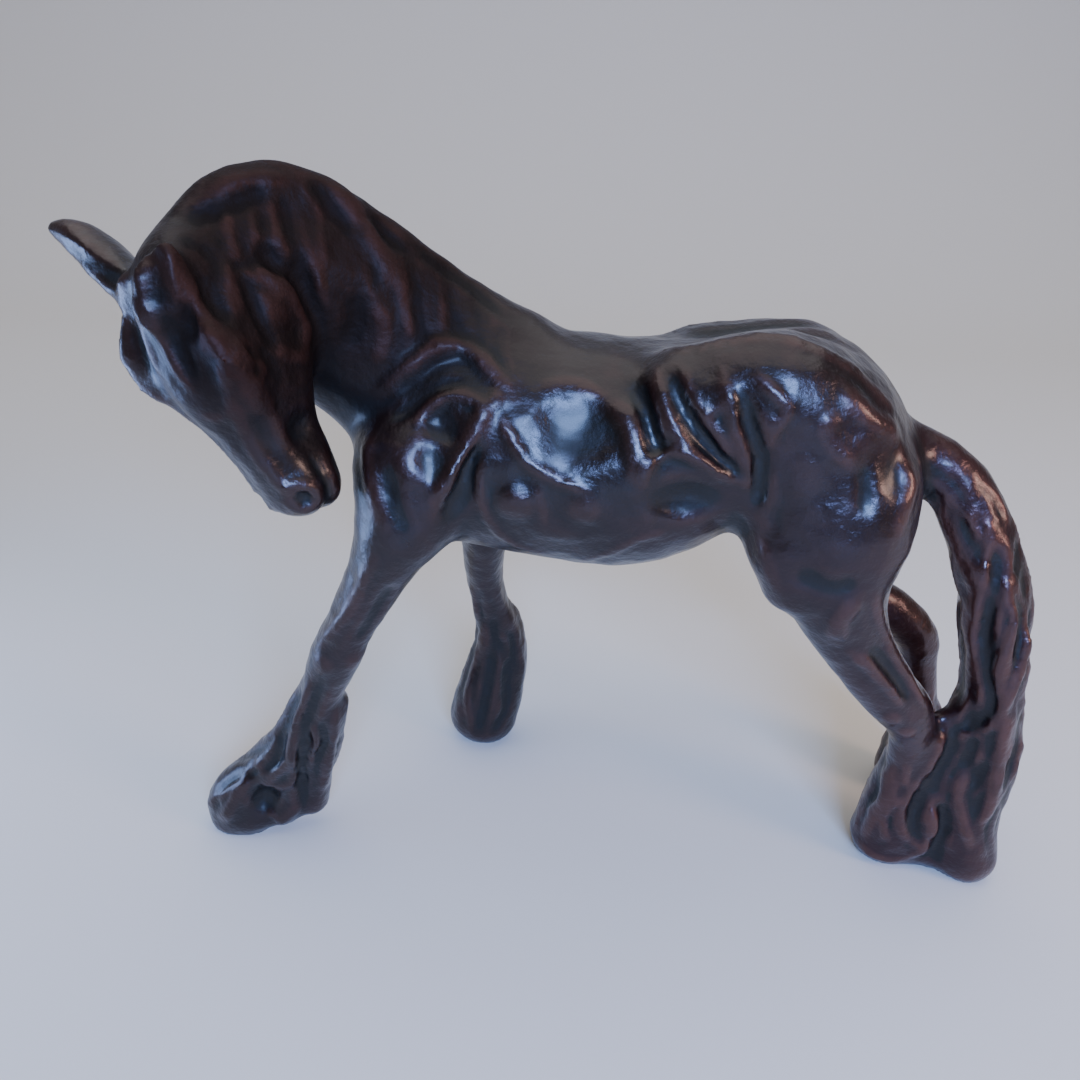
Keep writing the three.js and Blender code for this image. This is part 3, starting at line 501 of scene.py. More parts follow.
# %% Wet thumb over the lumps
def blurred(values, reach):
    """Mean of a box around each grid point."""
    for axis in range(3):
        margin = [(reach + 1, reach) if k == axis else (0, 0) for k in range(3)]
        total = np.pad(values, margin, "edge").cumsum(axis, dtype=np.float64)
        count = values.shape[axis]
        upper = np.take(total, range(2 * reach + 1, 2 * reach + 1 + count), axis)
        lower = np.take(total, range(0, count), axis)
        values = ((upper - lower) / (2 * reach + 1)).astype(np.float32)
    return values


clay.values = blurred(blurred(clay.values, 1), 1)
print("smoothed:", int((clay.values < 0).sum() * clay_cell**3 / 1000), "cubic cm")

# %% [markdown]
# ## Muscles
# The photograph shows the body worked in bold forms: the shoulder blade as a curved edge
# with a channel under it, the loop of the upper arm, a bowl over the ribs with a bright
# rim, folds on the flank, and an arch over its hollow. Each is a line or a thumb mark on
# the near side, given as points in millimetres. The far side gets them mirrored.


# %% Muscles of both sides
def carve_muscles(clay, far):
    def place(point):
        x, y, z = point
        return [x, 2 * mid_plane - y if far else y, z]

    for points, width, height, *steep in muscle_lines:
        draw_line(clay, [place(p) for p in points], width, height, *steep)
    for centre, size, depth in muscle_thumbs:
        press_thumb(clay, place(centre), np.array(size, float), depth)


shoulder_lines = [
    # Edge of the shoulder blade and the channel under it
    (((-41, -11, 114.5), (-36, -11, 119), (-31.5, -9, 122.5),
      (-26, -8.5, 122.5), (-21, -10.5, 119.5), (-18, -13, 115)), 3.2, 1.1, "up"),
    (((-39, -12, 113.5), (-34, -11, 117), (-28, -10, 119.5), (-23.5, -11.5, 118.5)), 3.6, -0.8),
    # Loop of the upper arm, with the groove before it
    (((-39, -13.5, 109), (-34.5, -13, 113), (-30, -12.5, 116), (-25.5, -12, 117)), 1.8, -0.6),
    (((-34, -15, 110), (-31, -14, 113.5), (-27.5, -14, 114.8),
      (-23.5, -15, 113.5), (-23, -16, 110.5)), 2.4, 0.9, "down"),
    (((-23, -16, 110.5), (-26, -16.5, 106), (-29, -19, 101), (-31.5, -20, 97)), 2.4, 1.0, "front"),
    # Back edge of the upper arm, and the girth behind it
    (((-20.5, -14.5, 114), (-24, -16, 108.5), (-27, -18.5, 102), (-30.5, -20, 95)), 3.6, 1.1, "back"),
    (((-23.5, -16, 108), (-25, -16.5, 103), (-26, -18, 98), (-28.5, -18, 92)), 2.8, -1.5),
    # Front of the chest
    (((-41.5, -12, 106), (-41, -16, 99), (-40, -19, 92)), 2.6, 0.8),
    (((-38, -15, 103), (-37.5, -18, 96), (-36, -20, 90)), 2.4, -0.7),
]
rib_lines = [
    # Edge that leaves the girth, runs under the first bulge and along the belly
    (((-21.5, -15, 111), (-23.2, -16, 104.5), (-23.6, -16, 99), (-22.5, -15, 94),
      (-20, -13.5, 89), (-16, -11.5, 85), (-11, -10.5, 82.5)), 2.0, 1.0, "front"),
    # Rim of the bowl: its low front, its top and its bright back
    (((-19.5, -14.5, 112), (-17.5, -15, 108.5), (-14, -17, 104),
      (-8.5, -18, 101.5), (-3, -18.5, 100)), 2.2, 0.9, "up"),
    (((-14, -11.5, 115.5), (-8, -10, 117), (-2, -11.5, 115.5)), 2.6, 0.5),
    (((-1, -12, 115), (2.2, -15, 112), (4, -17.5, 108), (4.6, -19, 104.5), (3.8, -19, 101)), 3.4, 1.2),
    (((-12.5, -17.5, 100.5), (-11.5, -18, 96.5), (-11, -16.5, 92)), 2.0, 0.7, "back"),
    (((-4.5, -10, 80.5), (1, -14.5, 85), (6.5, -16.5, 89.5), (11, -16, 91.5)), 2.2, 0.7, "down"),
]
flank_lines = [
    (((3.2, -11, 117.5), (5.6, -15.5, 113), (7, -17.5, 109), (9, -17.5, 106.5)), 2.4, -1.0),
    (((5.8, -13.5, 116), (7.6, -16, 112), (9.8, -16.5, 109)), 1.6, 0.5),
    (((7.5, -10, 119.5), (8.6, -14, 115.5), (10.8, -16, 111.5),
      (14, -17, 107.5), (19.5, -17, 104)), 3.0, 1.0, "back"),
    (((9.6, -12.5, 119.5), (11.4, -15, 115.5), (14.2, -17, 111.5),
      (18, -17, 107), (23, -17, 103)), 2.0, -1.3),
    (((11.4, -13, 119.5), (13.2, -16, 115), (16.4, -18, 110.5), (20.4, -17, 106)), 2.4, 1.0, "front"),
    (((17.5, -16, 121), (19, -19, 117.5), (20.4, -19.5, 113),
      (23, -19, 107.5), (24.3, -17, 102.5)), 2.8, 1.1, "back"),
    (((20.6, -18.5, 118), (22.4, -20, 113), (25.2, -18, 107.5),
      (26.6, -17, 101), (27, -16.5, 97)), 2.2, -1.1),
    (((14, -17.5, 112), (15.5, -18.5, 114.8), (18, -18.5, 116.5)), 1.6, 0.45),
    (((23.5, -16.5, 121), (26, -17, 119.3), (28.5, -18, 116.5),
      (27.5, -18, 113), (26.4, -17.5, 109)), 2.4, 0.9, "back"),
    (((27.8, -16.5, 105), (28.8, -16.5, 100), (28.2, -16, 96), (29.8, -17.5, 92)), 2.4, 0.8),
    # Arch over the hollow, and the front of the thigh
    (((5.5, -19, 101), (7, -18, 105), (10.5, -17, 107), (14.5, -17.5, 106.3),
      (19, -18, 103.4), (24.5, -17, 101)), 2.6, 1.2, "down"),
    (((23.5, -17.5, 98), (26.5, -16.5, 92.5), (29.5, -18, 87), (32.5, -18, 81)), 2.6, 0.5),
]
croup_lines = [
    (((6.5, -3.5, 121), (12.5, -8, 123.5), (19, -9.5, 125.5), (26, -11, 127.5),
      (34, -12.5, 126), (41, -12.5, 123), (47.5, -13, 117)), 2.8, 0.9, "up"),
    (((12, -1, 122), (22, -1, 124), (32, -1, 125), (42, 0, 122)), 4.4, -1.0),
    (((37.5, -16.5, 120.5), (40, -17.5, 118), (43, -17.5, 115.3),
      (47, -16, 113), (50.5, -14.5, 110)), 3.0, 0.8),
    (((37, -19, 115.5), (35.2, -19.5, 113.3), (36.8, -20, 110.5), (41, -20, 107)), 2.4, 0.6),
    (((42.5, -19.5, 107.5), (43.8, -20.5, 103), (43.5, -21.5, 99)), 2.2, -0.5),
    (((50.5, -16, 108), (52.4, -17.5, 104), (51.6, -20, 99), (50.2, -21.5, 94)), 3.0, 0.6),
    (((34, -20.5, 86.5), (41, -22, 84), (46, -22, 86)), 3.4, -0.7),
]
muscle_lines = shoulder_lines + rib_lines + flank_lines + croup_lines
muscle_thumbs = [
    ((-30, -14.5, 109.5), (4.4, 6, 4.8), 1.1),
    ((-32, -17, 103.5), (3.6, 6, 4.6), 0.9),
    ((-20.5, -14, 114.5), (2, 3, 2), -0.6),
    ((-6.5, -14, 108.5), (9.5, 9, 8.5), 2.0),
    ((-16.5, -18, 96), (5.4, 6, 5), -1.5),
    ((-4.5, -19, 96), (5, 6, 4.6), -1.2),
    ((-9, -17, 90), (7, 6, 4), -0.5),
    ((13.5, -16, 98.5), (9.5, 8, 5.4), 2.6),
    ((15.5, -17, 117), (4, 6, 4), -0.4),
    ((25.5, -17.5, 113.5), (3, 5, 4.5), -0.5),
    ((33, -19, 104), (6, 6, 8), -0.5),
    ((40, -18, 117), (4.5, 5, 4), -0.5),
    ((48, -17, 104), (4, 6, 6), 0.7),
]

for far in (False, True):
    carve_muscles(clay, far)
print("muscle lines:", len(muscle_lines), "thumb marks:", len(muscle_thumbs), "on each side")

# %% [markdown]
# ## The face
# The eye sits under a strong brow bone, half way round the corner between the forehead and
# the cheek. The nostril is a round pit near the end of the nose, with a raised rim. The
# cheek is a flat disc with a clear edge, and a vein-like ridge runs from the eye down to
# the mouth. Everything is again given in the head's frame, once for both sides.

# %% Face
def on_path(rows, q):
    """Points of a line given in the head's frame."""
    return [head_point(d, q * c, b) for d, c, b in rows]


face_lines = [
    # Corner between forehead and cheek, from the ear over the brow to the nostril
    (((5, 8, 2), (10, 10, 4.4), (13.5, 11.5, 6), (17, 11.5, 6.4), (20.5, 8, 6.6)), 2.4, 1.3, "down"),
    (((20.5, 8, 6.4), (24, 6.8, 5.8), (28, 5.4, 5.4),
      (33, 4.6, 5), (38, 4.8, 4.6), (41, 5.4, 4)), 2.0, 0.8),
    # Upper lid, lower lid and the fold below
    (((15, 13, 4), (16.5, 13, 2.2), (18.6, 11.6, 0.6), (20.5, 10.5, -0.6)), 1.4, 1.0),
    (((16.5, 13, 4.6), (19, 12.8, 4), (21.2, 11.4, 1.6)), 1.3, 0.9),
    (((17, 11, -2), (20, 10.2, -2.8), (23.5, 9.4, -3.2)), 1.4, -0.6),
    # Bone below the eye that runs to the mouth
    (((23, 9, 1), (29, 7, 0.4), (35, 6, 0)), 2.2, 0.5),
    # Cheek disc: edge, lower edge and the groove across it
    (((5, 8.8, -7), (9.5, 9.5, -10.5), (14, 9.5, -13), (19, 9.5, -13.2), (23, 9, -10.5)), 2.4, 1.0),
    (((23, 9, -10.5), (21, 10, -7), (18, 10.4, -4.6)), 1.8, 0.6),
    (((8, 9.5, -6.6), (11.5, 10, -5.2), (15, 10.4, -4.6), (19, 10.2, -5)), 1.6, -0.9),
    (((4, 8.4, 0), (8, 9, 0), (11.5, 10, 0.4)), 1.6, -0.7),
    # Mouth, lips
    (((37, 6.4, -3.2), (42, 6.6, -2.6), (46, 4.4, -2), (48.4, 0, -1.8)), 1.4, -0.6),
    (((38, 6.2, -5.2), (43, 6, -4.6), (46.5, 3, -4.2)), 1.8, 0.5),
    # Rim of the nostril
    (((40, 4, 4.4), (39.6, 5.8, 2.8), (41, 6.8, 1), (44, 6.6, 0)), 1.5, 0.9),
    (((42, 3.4, 4.8), (45, 4, 3.6), (46.4, 5.4, 1.4)), 1.4, 0.6),
]
for q in (-1, 1):
    # Socket of the eye, its ball, and the swelling in the middle of the cheek disc
    press_thumb(clay, head_point(18, q * 12.5, 2), (3.6, 3.6, 3.6), 1.5)
    press_thumb(clay, head_point(18, q * 12.6, 2.2), (2.1, 2.1, 2.1), -1.5)
    press_thumb(clay, head_point(13, q * 10.5, -9.5), (6, 5, 6), -1.4)
    # Hollow above the eye, nostril, and the hollow behind the mouth
    press_thumb(clay, head_point(9, q * 7.5, 5), (4, 3.5, 4), 0.7)
    press_thumb(clay, head_point(43, q * 5.8, 2), (2.1, 2.1, 2.1), 2.2)
    press_thumb(clay, head_point(32, q * 6.5, -4), (5, 4, 4), 0.6)
    for rows, width, height, *steep in face_lines:
        draw_line(clay, on_path(rows, q), width, height, *steep)
# Forelock: the bright lock in the middle of the brow, with a groove on each side
brow_lines = [
    (((3, 3, 8), (8, 3.6, 9), (13, 3.6, 9), (18, 3.6, 8.6)), 1.6, 1.0, "back"),
    (((5, 6, 7), (9, 6, 7), (13, 5.4, 7.5), (17, 5, 7.5)), 1.5, -0.8),
    (((3, -1, 8), (9, -1.5, 9), (15, -2, 9)), 1.6, 0.5),
    (((4, 8, 2), (8, 8.6, 3), (12, 9.5, 5.6)), 1.6, 0.6),
    (((23.5, 1, 8), (24.4, 4, 7.4), (23.4, 6, 6.6)), 1.3, 0.4),
]
for rows, width, height, *steep in brow_lines:
    draw_line(clay, on_path(rows, 1), width, height, *steep)
# Hollow over the far brow, with the lock that runs down beside it
press_thumb(clay, head_point(6, -5.5, 6.5), (5, 4.5, 6.5), 1.8)
press_thumb(clay, head_point(11, -5.5, 7), (4, 3.6, 5), 1.2)
far_ear_inside = ((-79, -19, 132.4), (-84, -17, 134.6), (-91, -12.5, 137.6))
near_ear_inside = ((-68, -33, 131.5), (-68.6, -32.4, 135), (-69, -31.8, 138.4), (-69.4, -30, 141.4))
draw_line(clay, far_ear_inside, 2.2, -1.5)
draw_line(clay, near_ear_inside, 3.0, -2.6)
print("face carved; eye at", np.round(head_point(18, 12.5, 2), 1))

# %% [markdown]
# ## Mane, tail and feather
# Hair on this bronze is not single hairs but strips of clay laid side by side and cut
# apart with a tool. Two kinds of marks make it: broad folds where the photograph shows
# them, listed as lines, and fine strands between them, which a seeded loop spreads round
# the neck, the tail and the feet, so that they are uneven but the same on every run.

# %% Strands
hair = np.random.default_rng(19)


def carve_mane(clay, strands):
    """Fine strands from the crest down both sides of the neck."""
    run = smooth_run(crest, 10)
    for q in (-1, 1):
        for n in range(strands):
            share = 0.06 + 0.92 * (n + 0.5 * hair.random()) / strands
            top = run[int(share * (len(run) - 1))]
            drop = (9 + 12 * hair.random()) * (0.6 + 0.5 * share)
            lean = 2 + 6 * hair.random()
            start = 0.5 * hair.random()
            path = [
                (top[0] + lean * start, top[1] + q * (1.5 + 5 * start), top[2] + 4 - drop * start),
                (top[0] + lean * 0.6, top[1] + q * 7.5, top[2] + 1 - drop * 0.55),
                (top[0] + lean, top[1] + q * 10, top[2] - drop),
            ]
            rise = (0.12 + 0.2 * hair.random()) * (-1 if n % 2 else 1)
            draw_line(clay, path, 1.3 + 0.9 * hair.random(), rise, steps=4)


def carve_round(clay, stations, start, strands, twist, width, height):
    """Strands that run along a rod, each at its own angle round it."""
    run = smooth_run(stations, 4)[start * 4 :]
    for n in range(strands):
        turn = 2 * math.pi * (n + 0.7 * hair.random()) / strands
        first = int(hair.random() * len(run) * 0.6)
        last = first + max(4, int(len(run) * (0.2 + 0.45 * hair.random())))
        sway = 0.1 + 0.15 * hair.random()
        path = []
        for step, (x, y, z, wide, deep) in enumerate(run[first:last]):
            angle = turn + twist * step + sway * math.sin(step * 0.7 + n)
            path.append((x + deep * math.cos(angle), y + wide * math.sin(angle), z))
        rise = height * (0.5 + 0.9 * hair.random()) * (-1 if n % 2 else 1)
        draw_line(clay, path, width * (0.7 + 0.7 * hair.random()), rise, steps=2)


carve_mane(clay, 46)
for stations, start, folds, strands, width in (
    (tail, 1, 9, 44, 1.5),
    (tail_web, 0, 5, 16, 1.5),
    (near_foreleg, 6, 6, 20, 1.4),
    (fore_feather, 0, 4, 12, 1.3),
    (far_foreleg, 4, 7, 30, 1.5),
    (near_hind_leg, 8, 7, 26, 1.5),
    (far_hind_leg, 7, 7, 26, 1.5),
):
    carve_round(clay, stations, start, folds, 0.04, 2 * width, 0.8)
    carve_round(clay, stations, start, strands, -0.03, width, 0.5)
print("strands carved round neck, tail and feet")

# %% [markdown]
# ## Folds that the photograph shows
# These lines are listed, because each one is a place where the light catches the real
# bronze: the deep groove behind the jaw, the long edge of the mane, the sinews of the
# forearm and the gaskin, the hollow of each hoof, and the lobes of the tail.

# %% Folds of neck, legs and tail
neck_lines = [
    (((-68, -19, 143), (-65, -17.5, 143.4), (-61, -15, 145), (-57, -11, 147)), 2.4, -0.9),
    (((-64.5, -15, 146.5), (-60, -12, 148), (-55, -9, 147.6)), 2.2, 0.6),
    (((-67, -22.5, 142), (-65, -24.5, 139.5)), 1.4, -0.7),
    (((-64.5, -22.5, 140.8), (-63, -24, 138.6)), 1.3, -0.8),
    (((-58.5, -18.5, 139), (-55.5, -17, 136.8), (-52.5, -15, 133), (-51, -13, 126.5)), 2.8, -1.6),
    (((-61, -21.5, 137), (-57.5, -19, 136)), 1.6, -0.9),
    (((-52.5, -14, 138), (-52, -14.5, 135), (-51, -14.5, 132)), 2.0, -0.8),
    (((-51.5, -6.5, 147.5), (-49.5, -6.5, 145), (-46.5, -7, 140.5)), 2.0, -0.8),
    (((-48.5, -2.5, 147.5), (-45.5, -4, 143.5), (-41.5, -5.5, 137), (-36.5, -6.5, 129.5)), 3.2, 0.9),
    (((-43.5, -3, 142.5), (-40.5, -3, 139.5), (-36.5, -2.5, 136)), 1.8, -0.7),
    (((-36, -1, 137), (-31, 0, 133), (-25, 0, 129.5), (-19, -2, 125)), 2.0, -0.6),
    (((-45, -11, 131), (-44.5, -11, 126.5), (-46.5, -11, 122)), 3.0, -0.8),
    (((-41, -9, 129), (-40, -10, 124), (-42, -11.5, 118)), 2.6, 0.6),
]
leg_lines = [
    # Forearm, knee and cannon
    (((-41.5, -20, 85), (-44.5, -18.5, 79), (-47, -17.5, 73),
      (-51, -15.5, 67), (-56, -13, 60)), 3.0, 0.9, "back"),
    (((-39, -19, 78), (-43, -17, 70), (-48, -14, 62)), 2.4, -0.6),
    (((-59, -12, 49), (-62.5, -10.5, 40.5), (-65.5, -9.5, 33)), 2.0, 0.8, "back"),
    (((-56, -13.5, 51.5), (-60, -11, 41), (-62, -10, 35),
      (-63.5, -8.5, 26), (-65, -6, 17), (-66.5, -4, 9)), 2.4, -1.5),
    # Toe: groove, ridge and edges round the hollow of the hoof
    (((-67.5, -8, 33.5), (-69, -8.5, 27), (-71, -8.5, 22)), 1.8, -1.0),
    (((-65.5, -9.5, 34), (-65.8, -9, 27), (-67, -6.5, 18.5), (-70.5, -7, 15.5)), 2.0, 1.1),
    (((-77, -7, 19), (-80, -7, 13), (-84, -7, 5)), 2.2, 0.9),
    (((-67, -6, 17), (-68.5, -4, 9), (-72, -5, 3)), 2.2, 0.8),
    (((-58, -9, 38), (-60.5, -7, 26), (-63.5, -5, 10)), 1.6, -0.7),
    (((-55.5, -8, 40), (-57.5, -6, 28), (-61, -4, 13)), 1.6, 0.7),
    # Gaskin: plane, groove, sinew
    (((46, -21.5, 82), (44.5, -20.5, 76), (45, -19.5, 71)), 3.2, 0.8),
    (((53, -18, 68.5), (58.5, -16.5, 62), (64, -15.5, 54.5)), 1.8, -1.0),
    (((55.5, -17.5, 70.5), (60, -16.5, 65), (65, -15, 58.5), (69, -14, 52)), 1.8, 0.9, "down"),
    (((49.5, -20.5, 82), (54.5, -18, 74), (61, -16, 67), (68, -14, 58)), 2.2, 0.7),
    (((49.5, -18.5, 67), (56, -17, 61), (62.5, -15.5, 54)), 2.8, 0.9, "down"),
    # Hind foot: two bright edges, the oval hollow and its rims, the edge of the sole
    (((70, -9, 27), (68, -7.5, 17), (67.5, -5.5, 7)), 2.4, 0.9),
    (((72, -9, 23), (70.6, -8, 15), (73, -8.5, 8)), 2.2, 0.9, "back"),
    (((74, -9.5, 26), (73, -9, 18), (75, -9, 12), (80.5, -9.5, 7)), 1.8, 0.8),
    (((78, -10, 26), (80.6, -10, 17), (81, -9.5, 8), (78, -9, 3.5)), 2.0, 0.9),
    (((68, -5, 2.5), (73, -7.5, 2), (78, -8.5, 3)), 1.8, 0.7),
    # Far forefoot
    (((-22.5, 26.5, 40.5), (-24, 28.5, 21.5), (-26.5, 28, 5)), 2.2, -0.9),
    (((-19, 28.5, 27), (-19.5, 29.5, 13), (-22.5, 28, 5)), 2.0, -0.8),
    (((-27.5, 30, 31.5), (-29.5, 30, 18.5), (-28, 28, 6.5)), 2.4, 0.7, "back"),
]
tail_lines = [
    (((74, -8.5, 88), (76.5, -10, 83), (77, -11, 76), (77.6, -11, 68.5), (80, -12, 62)), 2.4, -1.3),
    (((79.5, -10.5, 82), (81.6, -11, 75.5), (82.2, -12, 68.5), (81.5, -12.5, 58)), 2.2, 1.0),
    (((82, -7, 87), (81, -10, 81), (84, -12, 71), (84.5, -12.5, 62)), 1.8, -0.9),
    (((86, -9, 76), (86.8, -11.5, 66), (86.2, -13, 57),
      (85, -13, 50), (83, -12, 43.5), (79.5, -10, 39)), 2.6, 1.2, "down"),
    (((87, -13, 49), (88, -13.5, 40), (89.5, -13.5, 30), (90, -13, 20)), 2.0, 0.9),
    (((82.5, -10, 35), (83.6, -10.5, 26), (86.5, -12, 18), (89, -13, 12)), 2.0, 1.0),
    (((91, -11, 52), (93.5, -11, 44), (91.5, -12.5, 36), (93.5, -12, 27), (94.5, -11, 15)), 2.2, -0.9),
    (((79, -9, 37), (78.5, -8.5, 27), (81, -9, 15), (83.5, -10, 5)), 2.2, -1.3),
    (((70.5, -6.5, 88), (73.5, -8, 78), (76, -9.5, 68), (77.5, -10, 61)), 2.2, 0.6),
]
fold_thumbs = [
    ((-55.5, -14, 56), (3.4, 4, 3.6), -0.7),
    ((-48.5, -12.5, 56.5), (3, 4, 4), -0.6),
    ((-74, -7, 12), (4.6, 5, 6), 2.6),
    ((-74, -7.5, 21.5), (2.6, 3, 3), -0.8),
    ((62, -15, 49.5), (2.6, 3, 3), -0.7),
    ((66.5, -14.5, 45), (2.6, 3, 2.6), -0.7),
    ((77, -9.5, 19.5), (3, 4, 5.4), 1.5),
    ((86, -12, 32), (2.4, 4, 6), 1.2),
    ((88, -13, 24), (2, 4, 5), 0.9),
    ((73.5, -8.5, 80.5), (3, 4, 4.5), -0.8),
    ((75.5, -9.5, 73), (2.6, 4, 4.5), -0.8),
    ((-31.5, 30.5, 10), (3.4, 4, 5), -0.6),
]
for lines, boldness in ((neck_lines, 1.0), (leg_lines, 1.4), (tail_lines, 1.2)):
    for points, width, height, *steep in lines:
        draw_line(clay, points, width, boldness * height, *steep)
for centre, size, depth in fold_thumbs:
    press_thumb(clay, centre, np.array(size, float), depth)
print("folds:", len(neck_lines) + len(leg_lines) + len(tail_lines), "thumb marks:", len(fold_thumbs))

# %% [markdown]
# ## From the grid to a mesh
# The casting is the surface where the distance is zero. OpenVDB, which Blender brings
# along, turns it into clean four-sided faces, where marching cubes would leave slivers.
# The soles are filed flat in one plane first, and their points are set exactly on it.

# %% Skin of the clay
air_above = clay.axes[2][None, None, :] - np.float32(sole_height)
np.maximum(clay.values, -air_above, out=clay.values)
grid = openvdb.FloatGrid(far_away)
grid.copyFromArray(clay.values)
skin_points, skin_triangles, skin_quads = grid.convertToPolygons(0.0, 0.0)
skin_points = skin_points * clay_cell + clay.low
nearly_flat = 0.3
on_sole = np.abs(skin_points[:, 2] - sole_height) < nearly_flat
skin_points[on_sole, 2] = sole_height
faces = [list(map(int, face)) for kind in (skin_quads, skin_triangles) for face in kind]
print("skin:", len(skin_points), "points,", len(faces), "faces")

# %% [markdown]
# ## Placing it in the packed frame
# The drawing's own coordinates differ from the part's by a shift only. The boxes of the
# new mesh and of the packed solid are laid on each other, and the same shift is kept for
# the camera, which was worked out in the drawing's coordinates too.

# %% Horse mesh in the part's frame
middle_of_skin = (skin_points.max(0) + skin_points.min(0)) / 2
middle_of_solid = 500 * (np.array(horse_low) + np.array(horse_high))
shift = middle_of_solid - middle_of_skin
shift[2] = -sole_height
horse_mesh = bpy.data.meshes.new("cast_horse")
horse_mesh.from_pydata(((skin_points + shift) / 1000).tolist(), [], faces)
horse_mesh.update()
horse = bpy.data.objects.new("cast_horse", horse_mesh)
bpy.context.scene.collection.objects.link(horse)


def outward_volume(mesh):
    """Volume under the faces, which is below zero where they point inwards."""
    mesh.calc_loop_triangles()
    corners = np.zeros(len(mesh.vertices) * 3)
    mesh.vertices.foreach_get("co", corners)
    ids = np.zeros(len(mesh.loop_triangles) * 3, int)
    mesh.loop_triangles.foreach_get("vertices", ids)
    a, b, c = corners.reshape(-1, 3)[ids.reshape(-1, 3)].transpose(1, 0, 2)
    return float((a * np.cross(b, c)).sum() / 6)


if outward_volume(horse_mesh) < 0:
    horse_mesh.flip_normals()
print("shift, mm:", np.round(shift, 2), "volume, cubic cm:", round(outward_volume(horse_mesh) * 1e6, 1))

# %% [markdown]
# ## Hollows and crests
# Hollows are painted olive-black as painted shade, and hands polish the crests of a bronze,
# so the patina needs to know which is which. A bump map can't tell, but the clay can: where
# the grid is blurred, the distance at the skin rises over a crest and falls in a hollow. The
# result is kept on the mesh as two attributes that the material reads.

# %% How hollow the skin is at each point
near_skin = np.clip(clay.values, -5, 5)
for name, reach, gain in (("fine_relief", 2, 2.2), ("broad_relief", 6, 0.55)):
    soft_clay = Clay(low_corner, high_corner, clay_cell)
    soft_clay.values = blurred(near_skin, reach)
    relief = np.clip(0.5 + gain * soft_clay.at(skin_points), 0, 1)
    horse_mesh.attributes.new(name, "FLOAT", "POINT").data.foreach_set("value", relief)
    print(name, "5 to 95 per cent:", np.round(np.percentile(relief, (5, 50, 95)), 2))

# %% [markdown]
# ## Tool marks
# A cast bronze keeps the marks of the clay: small dabs and scrapes all over the skin. They
# could be a bump texture only, but then the outline stays too smooth. Geometry Nodes
# scatter seeded points over the skin, measure how far each point of the skin is from the
# nearest dab, and push the skin in there by a fraction of a millimetre.


# %% Node tree for the dabs
def node_tools(tree):
    """Two short hands for a node tree: one makes a node, the other wires two sockets."""

    def node(kind, **settings):
        made = tree.nodes.new(kind)
        for key, value in settings.items():
            setattr(made, key, value)
        return made

    return node, tree.links.new


def dab_tree(bronze):
    """Pushes the skin in round seeded points, everywhere but on the soles."""
    tree = bpy.data.node_groups.new("clay_dabs", "GeometryNodeTree")
    face = tree.interface
    face.new_socket("Geometry", in_out="INPUT", socket_type="NodeSocketGeometry")
    for title, start in (("Dab spacing", 0.004), ("Dab depth", 0.00025), ("Sole level", 0.0006)):
        face.new_socket(title, in_out="INPUT", socket_type="NodeSocketFloat").default_value = start
    face.new_socket("Seed", in_out="INPUT", socket_type="NodeSocketInt").default_value = 7
    face.new_socket("Geometry", in_out="OUTPUT", socket_type="NodeSocketGeometry")

    node, wire = node_tools(tree)
    given = node("NodeGroupInput")
    result = node("NodeGroupOutput")
    scatter = node("GeometryNodeDistributePointsOnFaces", distribute_method="POISSON")
    scatter.inputs["Density Max"].default_value = 90000
    near = node("GeometryNodeProximity", target_element="POINTS")
    slope = node("ShaderNodeMapRange", interpolation_type="SMOOTHSTEP")
    slope.inputs["To Min"].default_value = 1
    slope.inputs["To Max"].default_value = 0
    push = node("ShaderNodeMath", operation="MULTIPLY")
    sink = node("ShaderNodeMath", operation="MULTIPLY")
    sink.inputs[1].default_value = -1
    normal = node("GeometryNodeInputNormal")
    along = node("ShaderNodeVectorMath", operation="SCALE")
    place = node("GeometryNodeInputPosition")
    height = node("ShaderNodeSeparateXYZ")
    above = node("FunctionNodeCompare", data_type="FLOAT", operation="GREATER_THAN")
    move = node("GeometryNodeSetPosition")
    whole = node("GeometryNodeRealizeInstances")
    finish = node("GeometryNodeSetMaterial")
    finish.inputs["Material"].default_value = bronze

    wire(given.outputs["Geometry"], scatter.inputs["Mesh"])
    wire(given.outputs["Dab spacing"], scatter.inputs["Distance Min"])
    wire(given.outputs["Seed"], scatter.inputs["Seed"])
    wire(scatter.outputs["Points"], near.inputs[0])
    wire(near.outputs["Distance"], slope.inputs["Value"])
    wire(given.outputs["Dab spacing"], slope.inputs["From Max"])
    wire(slope.outputs["Result"], push.inputs[0])
    wire(given.outputs["Dab depth"], push.inputs[1])
    wire(push.outputs[0], sink.inputs[0])
    wire(normal.outputs["Normal"], along.inputs["Vector"])
    wire(sink.outputs[0], along.inputs["Scale"])
    wire(place.outputs["Position"], height.inputs["Vector"])
    wire(height.outputs["Z"], above.inputs["A"])
    wire(given.outputs["Sole level"], above.inputs["B"])
    wire(given.outputs["Geometry"], move.inputs["Geometry"])
    wire(above.outputs["Result"], move.inputs["Selection"])
    wire(along.outputs["Vector"], move.inputs["Offset"])
    wire(move.outputs["Geometry"], whole.inputs["Geometry"])
    wire(whole.outputs["Geometry"], finish.inputs["Geometry"])
    wire(finish.outputs["Geometry"], result.inputs["Geometry"])
    return tree


print("dab tree:", dab_tree.__doc__)
